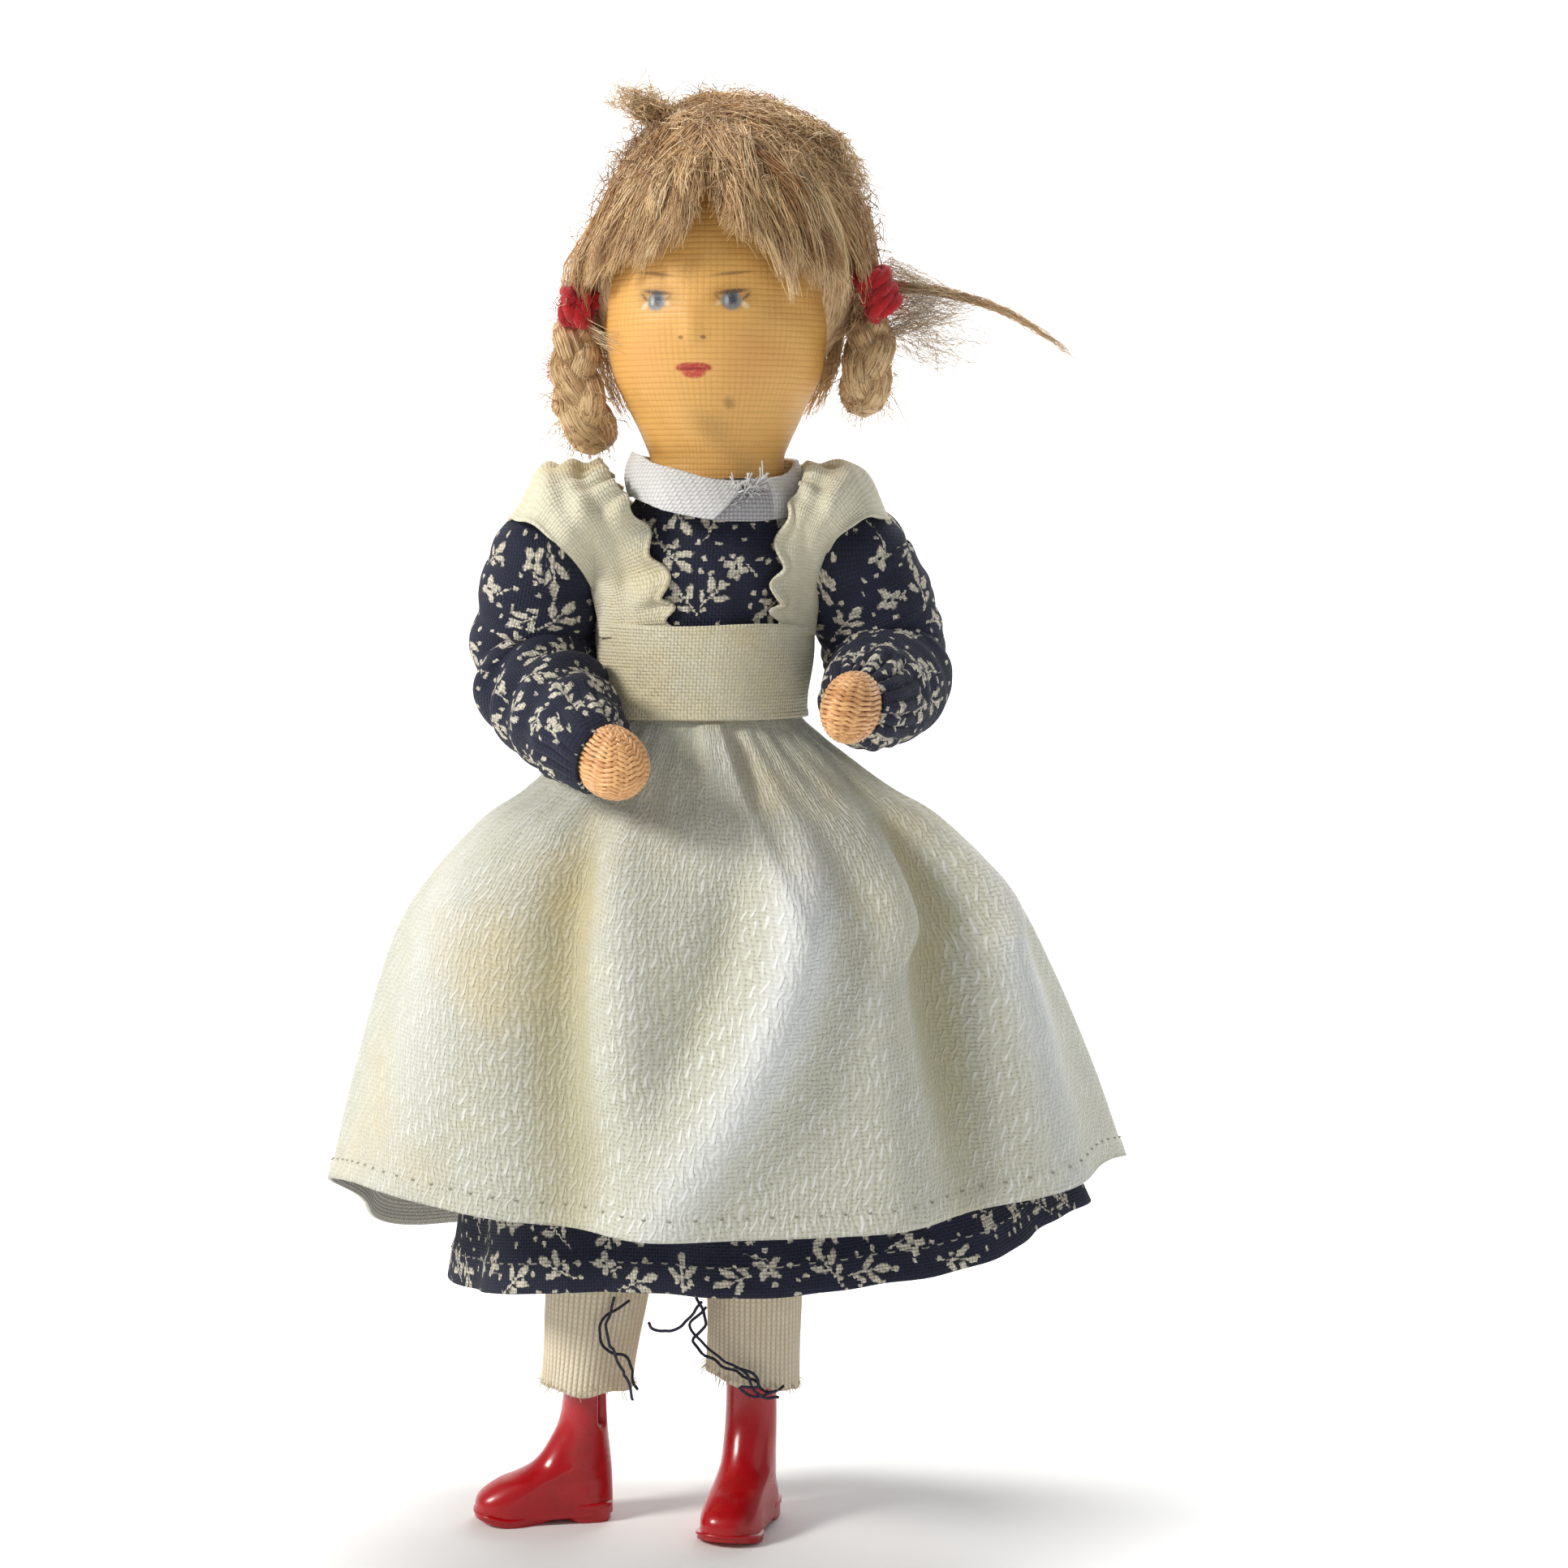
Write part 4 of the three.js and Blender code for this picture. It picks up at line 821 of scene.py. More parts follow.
# limb rolls: body, joints at both ends, bare wire left at each, and radii
limbRolls = {
    "upperArm": ("upper_arm", "shoulder", "elbow", 1.4, 2.7, [2.2, 3.0, 3.1, 2.7, 1.6]),
    "forearm": ("forearm", "elbow", "wrist", 2.7, 0, [1.6, 2.5, 2.5, 2.0]),
    "thigh": ("thigh", "hip", "knee", 5.7, 2.1, [2.5, 3.0, 2.9, 2.0]),
    "shin": ("shin", "knee", "ankle", 2.1, 2.5, [2.0, 2.8, 2.6, 2.2]),
}
roll = {"rows": 60, "columns": 40, "lap": 2.4}


# wadding: a roll of wound strips, with a slow spiral of lapped edges
def makeRoll(name, path, radii, body, node):
    rows = roll["rows"]
    line = resample(np.asarray(path, float), rows)
    long = np.linspace(0, lengthAlong(line)[-1], rows)[:, None]
    a = ringAngles(roll["columns"])[None]
    lap = (long / roll["lap"] + a / fullTurn) % 1
    r = np.interp(shares(rows), shares(len(radii)), radii)[:, None]
    r = r * (1 - 0.05 * lap) - 0.08 * (1 + ripple(a * 3 + long, 5, 2.0))
    r[0] = r[-1] = 0.01
    points, uv = tubeGrid(line, r, roll["columns"], (0.05, 1, 0.02))
    piece = closeForm(gridPiece(name, points, looks["wadding"], uv, loop=True))
    return finishPiece(piece, "wadding", body, node)


headRadius = through([(80.9, 5.1), (82.5, 5.1), (83.6, 5.5), (86, 6.6), (88.8, 7.9), (91.8, 8.5), (93.6, 8.5),
                      (96.5, 8.15), (100, 7.2), (102.5, 6.0), (104.6, 4.2), (105.8, 2.2), (106.2, 0.05)])


# rolls along the head, trunk and seat, and along each limb between its bare wire ends
def makeWadding():
    zs = np.linspace(armature["neckZ"] + 0.3, armature["neckZ"] + 24.4, 12)
    neck = [(armature["headX"], 0, z) for z in zs]
    makeRoll("headCore", neck, headRadius(zs) - 0.9, "head", "head_core")
    trunk = [(-1.9, 0, 56), (-1.6, 0, 66), (-1, 0, 77.5)]
    makeRoll("trunkCore", trunk, [4.0, 4.7, 4.6, 5.0, 3.6], "torso", "trunk_wadding")
    makeRoll("seatCore", [(-9.6, 0, 50), (5.6, 0, 50)], [3.2, 4.6, 4.8, 4.6, 3.2], "seat", "seat_wadding")
    for side in sideNames:
        for name, (body, a, b, bareA, bareB, radii) in limbRolls.items():
            a, b = joints(side, a, b)
            line = [toward(a, b, bareA), toward(b, a, bareB)]
            makeRoll(name + "Core_" + side, line, radii, body + "_" + side, body + "_wadding_" + side)


# head cloth: the head's outline turned about its axis, with a low nose
def makeFace():
    girth, eye = 8.5, face["eyeOut"]
    crown = 100 + 6.2 * np.sin(np.linspace(0, math.pi / 2, 24)[1:])
    z = np.concatenate([np.linspace(80.9, 100, 90), crown])[:, None]
    a = ringAngles(132) - math.pi
    s = a[None] * girth
    nose = face["nose"] * bump(s, 0, 0.8) * (bump(z, 91.6, 0.7) + 0.6 * bump(z, 92.9, 1.1))
    sockets = 0.18 * (bump(s, eye, 1.6) + bump(s, -eye, 1.6)) * bump(z, face["eyeZ"], 1.0)
    r = headRadius(z) + nose - sockets + 0.06 * ripple(s + 2 * z, 3, 0.7)
    way = a - math.radians(90 + face["yaw"])
    points = stacked(armature["headX"] + r * np.cos(way), r * np.sin(way), z)
    uv = stacked(np.append(a, math.pi)[None] * girth, z)
    piece = clothPiece("faceCloth", points, "skin", uv, 0.4, loop=True)
    finishPiece(piece, "skin_cloth", "head", "face_cloth")


makeWadding()
makeFace()
print("core and face made")

# hair: strands laid over the wig's form, waved at random
wig = {"centre": np.array([-0.2, 0.8, 97.6]), "half": np.array([11.3, 10.9, 11.4]), "wave": 0.13, "strand": 0.046,
       "points": 15, "tints": 40}
ties = {"right": np.array([-11.3, 0.3, 93.9]), "left": np.array([11.4, 0.3, 95.1])}
# each fringe: where its tips lie, by share of its clumps
fringes = {
    "right": {"x": -0.12, "stops": (0, 0.22, 1),
              "tips": [(-1.9, -8.2, 102.6), (-3.5, -8.7, 98.8), (-10.2, -3.0, 95.6)]},
    "left": {"x": -0.03, "stops": (0, 0.2, 0.75, 1),
             "tips": [(-1.3, -8.4, 102.6), (0.7, -9.2, 99.6), (6.2, -8.0, 95.4), (9.8, -5.0, 94.6)]},
}
# loose fibres all round, and a haze of short curled ones that softens the outline
flyaways = {
    "looseFibres": {"count": 1700, "lean": (0, 0.3, 0.4), "low": -0.3, "front": -0.5, "brow": 0.35, "spread": 0.42,
                    "drop": -0.15, "root": 1.0, "rise": (0.0, 0.2), "bow": 1.3, "points": 15, "wave": 0.65, "seed": 35,
                    "pitch": (2, 6), "thick": 0.052},
    "hairHaze": {"count": 1500, "lean": (0, 0.25, 0.35), "low": -0.35, "front": -0.45, "brow": 0.4, "spread": 0.2,
                 "drop": 0, "root": 0.99, "rise": (0.02, 0.15), "bow": 1, "points": 10, "wave": 0.42, "seed": 37,
                 "pitch": (3, 8), "thick": 0.036},
}


# the form is drawn in at its upper sides, more at the doll's right
def wigShape(local):
    share = smoothstep(local[..., 2], -3, 4) * np.where(local[..., 0] < 0, 0.17, 0.05)
    return local * stacked(1 - share, 1, 1) + wig["centre"]


# place from the wig's centre, in shares of its half sizes
def toWig(points):
    return (np.asarray(points, float) - wig["centre"]) / wig["half"]


# strands from start to end directions, over the form; lift is the share of the form's radius
def combed(start, end, lift, points=wig["points"]):
    t = shares(points)[:, None]
    s, e = unit(start)[:, None], unit(end)[:, None]
    omega = np.arccos(np.clip((s * e).sum(-1, keepdims=True), -0.98, 0.995))
    way = (np.sin((1 - t) * omega) * s + np.sin(t * omega) * e) / np.sin(omega)
    return wigShape(wig["half"] * unit(way) * np.broadcast_to(lift, way.shape[:2])[..., None])


# adds three sines of rising pitch to each strand, in random directions, more of them towards the tip
def frizz(paths, size, seed, pitch=(5, 12)):
    draw = np.random.default_rng(seed)
    each = (len(paths), 1, 1)
    t = shares(paths.shape[1])[:, None]
    total = np.zeros_like(paths)
    for k in range(1, 4):
        axis = draw.normal(size=(len(paths), 1, 3))
        total += axis * np.sin(draw.uniform(*pitch, each) * 2 * t * k + draw.uniform(0, 6.3, each)) / k
    return paths + size * total * (0.25 + 0.75 * t)


# strands that taper; their tints vary by clump and by strand
def hairPiece(name, paths, draw, thick=wig["strand"], look="hair", tint=None):
    count, steps = paths.shape[:2]
    radii = thick * draw.uniform(0.7, 1.3, (count, 1)) * (1 - 0.65 * shares(steps) ** 2)
    if tint is None:
        clump = draw.uniform(0.15, 0.9, wig["tints"])[np.arange(count) * wig["tints"] // count]
        tint = np.clip(clump + draw.normal(0, 0.16, count), 0, 1)
    return finishPiece(strandPiece(name, paths, radii, looks[look], tint), "hair", "head")


# locks on the wig: each clump's strands share a wave, keep close and each adds its own frizz
def lockPiece(name, starts, ends, per, spread, lift, draw, seed, wave=wig["wave"], tints=None):
    clumps = len(starts)
    each = (clumps, 1, 1)
    pick = np.repeat(np.arange(clumps), per)
    n = len(pick)
    start = starts[pick] + draw.normal(0, spread, (n, 3))
    end = ends[pick] + draw.normal(0, spread * 0.6, (n, 3))
    high = lift + draw.normal(0, 0.014, (clumps, 1))[pick] + draw.uniform(-0.02, 0.02, (n, 1))
    paths = combed(start, end, high)
    t = shares(paths.shape[1])[:, None]
    sway = draw.normal(0, 0.42, (clumps, 1, 3)) * np.sin(draw.uniform(4, 11, each) * t + draw.uniform(0, 6.3, each))
    paths = frizz(paths + sway[pick] * (0.2 + 0.8 * t), wave, seed)
    return hairPiece(name, paths, draw, tint=tints and draw.uniform(*tints, n))


# wig cap: the upper part of an ellipsoid, lumped by slow sines
def makeWigCap():
    cols = 96
    e = np.linspace(-0.62, 1, 60)[:, None]
    a = ringAngles(cols)[None]
    up, flat = np.sin(e * math.pi / 2), np.cos(e * math.pi / 2)
    x, y = flat * np.sin(a), -flat * np.cos(a)
    lump = 1 + 0.02 * ripple(a * 7 + up * 3, 8, 2.0) + 0.015 * ripple(a * 17, 9, 1.0)
    points = wigShape(wig["half"] * 0.93 * stacked(x, y, up) * lump[..., None])
    # the form is drawn in behind the painted face below the brow line
    z = points[..., 2]
    front = smoothstep(-y, 0.1, 0.5) * (1 - smoothstep(z, 101.6, 104.4))
    inside = headRadius(np.minimum(z, 104)) - 0.6
    skull = stacked(x * inside + armature["headX"], y * inside, z)
    points = lerp(points, skull, front[..., None])
    uv = stacked(np.arange(cols + 1)[None] * 0.7, e * 18)
    cap = closeForm(gridPiece("wigCap", points, looks["combed"], uv, loop=True))
    finishPiece(cap, "hair", "head", "hair_wig")


# start points along the parting: front brow over the crown to the nape; x leans the parting to one side
def partingStart(count, draw, low, high, x, spread):
    turn = draw.uniform(math.radians(low), math.radians(high), count)
    return np.stack([x + draw.normal(0, spread, count), -np.cos(turn), np.sin(turn)], 1)


# directions scattered about a point on the wig
def aroundPoint(count, draw, point, spread):
    return unit(toWig(point)) + draw.normal(0, spread, (count, 3))


# an even change from root to tip
def slope(root, tip):
    return np.linspace(root, tip, wig["points"])[None]


# each lock is combed from start to end directions, at a share of the wig's radius
def makeWig():
    draw = np.random.default_rng(7)
    for side, way in sideNames.items():
        # side hair: from the parting down to the tie
        start = partingStart(62, draw, 50, 150, 0.02 if way < 0 else 0.2, 0.1)
        end = aroundPoint(62, draw, ties[side], 0.1)
        lockPiece("sideHair_" + side, start, end, 22, 0.05, slope(0.99, 1.01), draw, 11 + way)
        # back hair: from the back parting down and round to the tie
        start = partingStart(60, draw, 110, 205, way * 0.06, 0.08)
        end = aroundPoint(60, draw, ties[side] + (0, 3.0, -1.5), 0.2)
        lockPiece("backHair_" + side, start, end, 17, 0.055, slope(0.985, 0.985), draw, 15 + way)
    # fringe: swept to the doll's right and over the left brow, leaving the forehead bare in a triangle
    n = 46
    for k, (side, part) in enumerate(fringes.items()):
        start = partingStart(n, draw, 48, 84, part["x"], 0.06)
        tip = np.stack([np.interp(shares(n), part["stops"], line) for line in np.array(part["tips"]).T], 1)
        tip[:, 2] += draw.normal(0, 0.5, n)
        lift = slope(1.03, 0.985)
        lockPiece("fringe_" + side, start, toWig(tip), 26, 0.045, lift, draw, 21 + 2 * k, wig["wave"] * 1.15)
    # the darker parting at the left
    start = toWig(np.linspace((1.6, -7.0, 105.8), (3.0, -7.4, 104.8), 9))
    end = toWig(np.linspace((6.4, -7.6, 97.6), (8.2, -6.4, 96.4), 9))
    lockPiece("partingHair", start, end, 22, 0.02, slope(1.03, 1.03), draw, 26, tints=(0, 0.22))
    # the crown's untidy top: long waves laid from the right over to the left
    n = 48
    start = np.stack([draw.uniform(-0.6, 0.15, n), draw.uniform(-0.5, 0.5, n), np.full(n, 0.9)], 1)
    end = start + np.stack([draw.uniform(0.5, 1.1, n), draw.normal(0, 0.25, n), draw.uniform(-0.6, 0.0, n)], 1)
    lift = 1.01 + draw.uniform(0.01, 0.06) * np.sin(slope(0.3, 2.9))
    lockPiece("crownHair", start, end, 22, 0.07, lift, draw, 29, 0.45)
    # hair hanging behind the face to the nape
    n = 600
    turn = np.sort(draw.uniform(-1.45, 1.45, n))[:, None]
    z = lerp(draw.uniform(93, 98, (n, 1)), draw.uniform(85.4, 88, (n, 1)), slope(0, 1))
    r = headRadius(z) + 0.75 + draw.uniform(0, 0.5, (n, 1))
    paths = stacked(armature["headX"] + r * np.sin(turn), r * np.cos(turn), z)
    hairPiece("napeHair", frizz(paths, 0.14, 27), draw)
    # tuft standing up at the right, short tuft at the left
    right = [(-3.6, -2, 105), (-4.8, -2.4, 108), (-8.8, -2.7, 110.0)]
    lockBetween("tuft_right", right, 1.1, 1.2, 190, draw, 31, wave=0.6)
    left = [(3, -3.4, 107.4), (7.4, -3.2, 106.2), (10.8, -2.6, 102.6)]
    lockBetween("tuft_left", left, 1.2, 0.9, 190, draw, 33, wave=0.6)
    for name, fly in flyaways.items():
        start = unit(draw.normal(size=(fly["count"], 3)) + fly["lean"])
        start = start[(start[:, 2] > fly["low"]) & ((start[:, 1] > fly["front"]) | (start[:, 2] > fly["brow"]))]
        end = start + draw.normal(0, fly["spread"], start.shape) + (0, 0, fly["drop"])
        lift = fly["root"] + shares(fly["points"]) ** fly["bow"] * draw.uniform(*fly["rise"], (len(start), 1))
        paths = frizz(combed(start, end, lift, fly["points"]), fly["wave"], fly["seed"], fly["pitch"])
        # only the fibres that keep clear of the painted face
        clear = ~((paths[..., 1] < -3.5) & (paths[..., 2] < 100.5)).any(1)
        hairPiece(name, paths[clear], draw, fly["thick"], "looseHair")


# a lock: strands gathered round a path, wide at its root and narrow at its tip
def lockBetween(name, points, base, tip, count, draw, seed, steps=18, thick=wig["strand"], wave=0.16):
    path = spline(points, steps)
    side, up = framesAlong(path, (0.2, 1, 0.3))
    a, r = draw.uniform(0, fullTurn, count)[:, None], np.sqrt(draw.uniform(0, 1, count))[:, None]
    wide = np.linspace(base, tip, steps) * r
    # each strand stops at its own share of the way
    reach = draw.uniform(0.55, 1, count)[:, None] * shares(steps) * (steps - 1)
    low = np.minimum(reach.astype(int), steps - 2)
    path, side, up = (lerp(line[low], line[low + 1], (reach - low)[..., None]) for line in (path, side, up))
    return hairPiece(name, frizz(path + wide[..., None] * around(a, side, up), wave, seed), draw, thick)


braids = {
    "right": {"turns": 1.65, "path": [(-11.3, 0.2, 92.8), (-11.5, -0.9, 89.4), (-10.8, -1.2, 86.2), (-10.2, 1, 84.6),
                                      (-11, 3.2, 85.6), (-12.2, 3.5, 88)]},
    "left": {"turns": 1.5, "path": [(11.1, 0.2, 93), (10.9, -1, 90.2), (10.6, -0.8, 88.2), (10.5, 1.5, 87.6),
                                    (10.8, 3.4, 89.6), (10.9, 3.8, 92)]},
}


# plait: three locks that cross in a figure of eight about the plait's path
def makeBraid(side, way):
    steps, fibres, ref = 90, 130, (0.1, 1, 0.1)
    path = spline(braids[side]["path"], steps)
    across, up = framesAlong(path, (0.12 * way, 1, 0.1))
    t = shares(steps)
    draw = np.random.default_rng(50 + len(side))
    swell = np.minimum(1, 0.45 + 2.4 * np.sqrt(np.minimum(t, 1 - t)))
    parts, lines = [], []
    for k in range(3):
        phase = fullTurn * (braids[side]["turns"] * t + k / 3)
        centre = path + (0.82 * swell * np.sin(phase))[:, None] * across
        centre = centre + (0.55 * swell * np.sin(2 * phase))[:, None] * up
        points, uv = tubeGrid(centre, 1.05 * swell * (1 + 0.05 * ripple(t * 30, k, 1.0)), 22, ref)
        for end in (0, -1):
            points[end] = points[end].mean(0)
        parts.append(gridPart(points, uv + (9.0 * k, 0), loop=True))
        twist = draw.uniform(0, fullTurn, fibres)[:, None] + 1.2 * t
        r = (1.06 * swell)[:, None] * draw.uniform(0.97, 1.08, (fibres, 1, 1))
        lines.append(centre + r * around(twist, *framesAlong(centre, ref)))
    finishPiece(closeForm(joinGrids("plait_" + side, parts, looks["combed"])), "hair", "head", "braid_" + side)
    lines = np.concatenate(lines)[:, ::4]
    hairPiece("plaitFibres_" + side, frizz(lines, 0.05, 61), draw, 0.035)
    n = 420
    at = lines[draw.integers(0, len(lines), n), draw.integers(0, lines.shape[1] - 2, n)]
    out = unit(at - path.mean(0)) * (0.8, 0.8, 0.3) + draw.normal(0, 0.5, (n, 3))
    s = shares(10)[:, None]
    loose = at[:, None] + out[:, None] * s * draw.uniform(0.5, 1.9, (n, 1, 1)) + np.array([0, 0, -1.2]) * s**2
    hairPiece("plaitLoose_" + side, frizz(loose, 0.16, 67), draw, 0.034)


tieTurns = {
    "right": {"at": (-11.2, -1.5, 93.9), "axis": (1, 0.1, -0.3), "turns": 2, "thick": 0.78, "radius": 0.9,
              "step": 1.8, "node": "hair_tie_right"},
    "left": {"at": (11.5, -1.5, 95.1), "axis": (-0.38, 0.05, 1), "turns": 3, "thick": 0.74, "radius": 0.85,
             "step": 1.55, "node": "hair_tie_left"},
    "rightEnd": {"at": (-12.9, 3.6, 89.6), "axis": (1, 0, -0.6), "turns": 1, "thick": 0.5, "radius": 0.5,
                 "step": 0.6, "node": "hair_tie_right_end"},
}


# a tie: turns of plied yarn, three plies twisted along the path, with a fuzz of short fibres
def makeTie(name, tie):
    thick, turns = tie["thick"], tie["turns"]
    axis = unit(np.array(tie["axis"], float))
    side = unit(np.cross(axis, (0, 1, 0.2)))
    a = np.linspace(0, turns * fullTurn, turns * 34)
    rise = (a / a[-1] - 0.5) * (turns - 1) * tie["step"]
    path = np.array(tie["at"]) + tie["radius"] * around(a, side, np.cross(axis, side)) + rise[:, None] * axis
    side, up = framesAlong(path, (0.1, 0.2, 1))
    twist = lengthAlong(path) * 1.32 / thick + np.arange(3)[:, None] * fullTurn / 3
    plies = path + 0.5 * thick * around(twist, side, up)
    piece = strandPiece(name, plies, 0.56 * thick, looks["yarn"], [0.5, 0.65, 0.8], sides=10)
    finishPiece(piece, "yarn", "head", tie["node"])
    draw = np.random.default_rng(71)
    n = 420
    at = path[draw.integers(0, len(path), n)]
    out = unit(draw.normal(size=(n, 3)))
    reach = out * draw.uniform(0.2, 0.9, (n, 1))
    fuzz = frayPiece(name + "Fuzz", at + out * thick * 0.85, reach, 0.3, 7, 0.018, "yarn", 0.5, draw)
    finishPiece(fuzz, "yarn", "head")


# loose lock: a cone of fibres from the tie narrows into one long thin lock, with curled wisps below
def makeLooseLock():
    draw = np.random.default_rng(81)
    line = [(12.2, 0.3, 95.6), (16.5, 0, 95.1), (20.9, -0.3, 93.8), (24.6, -0.5, 91.6), (26.9, -0.6, 89.9)]
    lock = lockBetween("looseLock", line, 0.5, 0.06, 120, draw, 83, 22, 0.03, 0.22)
    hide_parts("loose_lock")
    s = shares(16)[:, None]
    n = 300
    start = np.stack([12.3 + draw.normal(0, 0.3, n), draw.normal(0.3, 0.9, n), draw.uniform(91.4, 97.9, n)], 1)
    end = spline(line, 60)[draw.integers(14, 34, n)] + draw.normal(0, 0.25, (n, 3))
    reach = (end - start)[:, None] * draw.uniform(0.5, 1, (n, 1, 1))
    hairPiece("looseCone", frizz(start[:, None] + reach * s, 0.3, 85, (3, 8)), draw, 0.02, "paleHair")
    n = 150
    start = np.stack([draw.uniform(12.2, 15, n), draw.normal(0, 0.8, n), draw.uniform(91.2, 94.5, n)], 1)
    reach = np.stack([draw.uniform(1.5, 8.5, n), draw.normal(0, 0.8, n), draw.uniform(-4.2, -0.4, n)], 1)
    hairPiece("looseWisps", frizz(start[:, None] + reach[:, None] * s, 0.5, 87, (3, 8)), draw, 0.016, "paleHair")


makeWigCap()
makeWig()
for side, way in sideNames.items():
    makeBraid(side, way)
for name, tie in tieTurns.items():
    makeTie("yarnTie_" + name, tie)
makeLooseLock()
print("hair made")

# body cloth: ovals about a leaning axis, as wide and deep as the trunk
trunkWide = through([(56, 5.6), (58, 6.5), (63.6, 6.6), (68.2, 6.8), (71.7, 6.8), (74.5, 7.0), (76.6, 7.1), (78, 6.7),
                     (79.4, 5.6), (81.2, 4.95)])
trunkDeep = through([(56, 4.2), (58, 4.9), (63.6, 4.9), (68.2, 5.1), (71.7, 5.4), (74.5, 5.5), (76.6, 5.0), (78, 4.7),
                     (79.4, 4.75), (81.2, 4.85)])


# x of the trunk's axis, which leans from the waist to the neck
def trunkLean(z):
    return lerp(armature["torsoX"], armature["headX"], np.clip((z - 63.6) / 17.4, 0, 1))


# an oval about the axis at height z; a is the angle from the front, and grow is added all round
def bodyOval(z, a, grow):
    return stacked(trunkLean(z) + (trunkWide(z) + grow) * np.sin(a), -(trunkDeep(z) + grow) * np.cos(a), z)


# bodice: ovals just outside the trunk, with slow tugs in the cloth
def makeBodice():
    z = np.linspace(63.9, 81.0, 70)[:, None]
    turn = np.linspace(-math.pi, math.pi, 161)[None]
    a = turn[:, :-1]
    tug = 0.14 * ripple(a * 9 + z * 0.5, 12, 1.4) + 0.16 * ripple(z * 1.1 + a * 3, 13, 1.3)
    piece = clothPiece("bodiceCloth", bodyOval(z, a, 0.62 + tug), "print", stacked(turn * 6.6, z), 0.3, loop=True)
    finishPiece(piece, "print_cotton", "torso", "bodice")


collar = {"x": -0.9, "low": 79.6, "high": 2.9, "lap": 0.62, "overlap": 0.55, "start": math.radians(112)}


# collar: one band about the neck, lapped in front with a raw top edge
def makeCollar():
    along = np.linspace(0, fullTurn + collar["overlap"], 200)[None]
    up = shares(26)[:, None]
    a = along + 0.34 * (up - 0.45) * smoothstep(along, 5.4, 6.83) - collar["start"]
    front = np.maximum(0, -np.sin(a))
    lap = collar["lap"] * smoothstep(along, 5.08, 6.28)
    bow = 0.35 * np.sin(up * math.pi)
    r = lerp(6.15 + 0.8 * front, 6.0, up) + lap + bow + 0.07 * ripple(a * 9 + up * 2, 17, 1.3)
    dip = 0.9 * front**2 + 0.7 * front**1.5 + 0.9 * np.cos(a) * smoothstep(front, -0.2, 0.6)
    z = collar["low"] - dip + up * (collar["high"] - 0.1 * front) + 0.12 * ripple(a * 5, 18, 1.0) * up
    points = stacked(collar["x"] + r * np.cos(a), r * np.sin(a), z)
    piece = clothPiece("collarBand", points, "white", stacked(along * 6.4, z), 0.42, 1.0)
    finishPiece(piece, "white_cotton", "torso", "collar")
    # raw threads at the lapped end and the top edge in front
    draw = np.random.default_rng(91)
    n, r = 110, 6.95
    at = np.radians(draw.uniform(-88, -58, n))
    z = collar["low"] - 1.0 + lerp(0.2, 1.9, (np.degrees(at) + 88) / 30) + draw.normal(0, 0.2, n)
    root = stacked(collar["x"] + r * np.cos(at), r * np.sin(at), z)
    out = stacked(draw.normal(0.25, 0.35, n), draw.uniform(-0.5, -0.05, n), draw.uniform(0.0, 1.3, n))
    fray = frayPiece("collarFray", root, out, 0.35, 8, 0.06, "whiteThread", 0.3, draw)
    finishPiece(fray, "white_cotton", "torso")


band = {"foot": 62.9, "head": 70.1, "grow": 1.6}


# waistband: ovals outside the bodice, thicker at both edges, with a waved top
def makeWaistband():
    z = np.linspace(band["foot"], band["head"], 40)[:, None]
    turn = np.linspace(-math.pi, math.pi, 221)[None]
    a = turn[:, :-1]
    edge = 0.1 * (bump(z, band["foot"] + 0.2, 0.35) + bump(z, band["head"] - 0.2, 0.35))
    points = bodyOval(z, a, band["grow"] + edge + 0.1 * ripple(a * 6 + z * 0.9, 21, 1.2))
    points[..., 2] += 0.22 * ripple(a * 3, 22, 1.0) * smoothstep(z, 66, 70)
    piece = clothPiece("waistband", points, "strap", stacked(turn * 7.4, z), 0.42, loop=True)
    finishPiece(piece, "apron_cotton", "torso", "apron_waistband")


strapBack = [(10.2, 4.6, 80.5), (7.4, 6.6, 76.5), (5.2, 6.5, 73.1), (4.4, 5.7, 69.0)]
straps = {
    "right": {"rail": [(4.7, -5.6, 69.0), (5.0, -6.2, 71.2), (5.6, -6.9, 73.8), (7.4, -6.9, 77.2), (9.9, -4.6, 80.4),
                       (10.9, 0.2, 81.5)], "half": [(0, 2.8), (0.2, 2.9), (0.38, 3.3), (0.5, 3.6)]},
    "left": {"rail": [(7.2, -4.6, 69.0), (7.3, -5.2, 71.2), (7.6, -6.1, 73.8), (8.4, -6.4, 77.2), (10.4, -4.4, 80.4),
                      (11.2, 0.2, 81.5)], "half": [(0, 1.5), (0.2, 1.9), (0.36, 2.7), (0.5, 3.3)]},
}
strap = {"rows": 150, "columns": 46, "ruffle": 0.5, "droop": 4.4, "halfBack": [(0.65, 3.2), (0.85, 2.5), (1, 2.3)]}


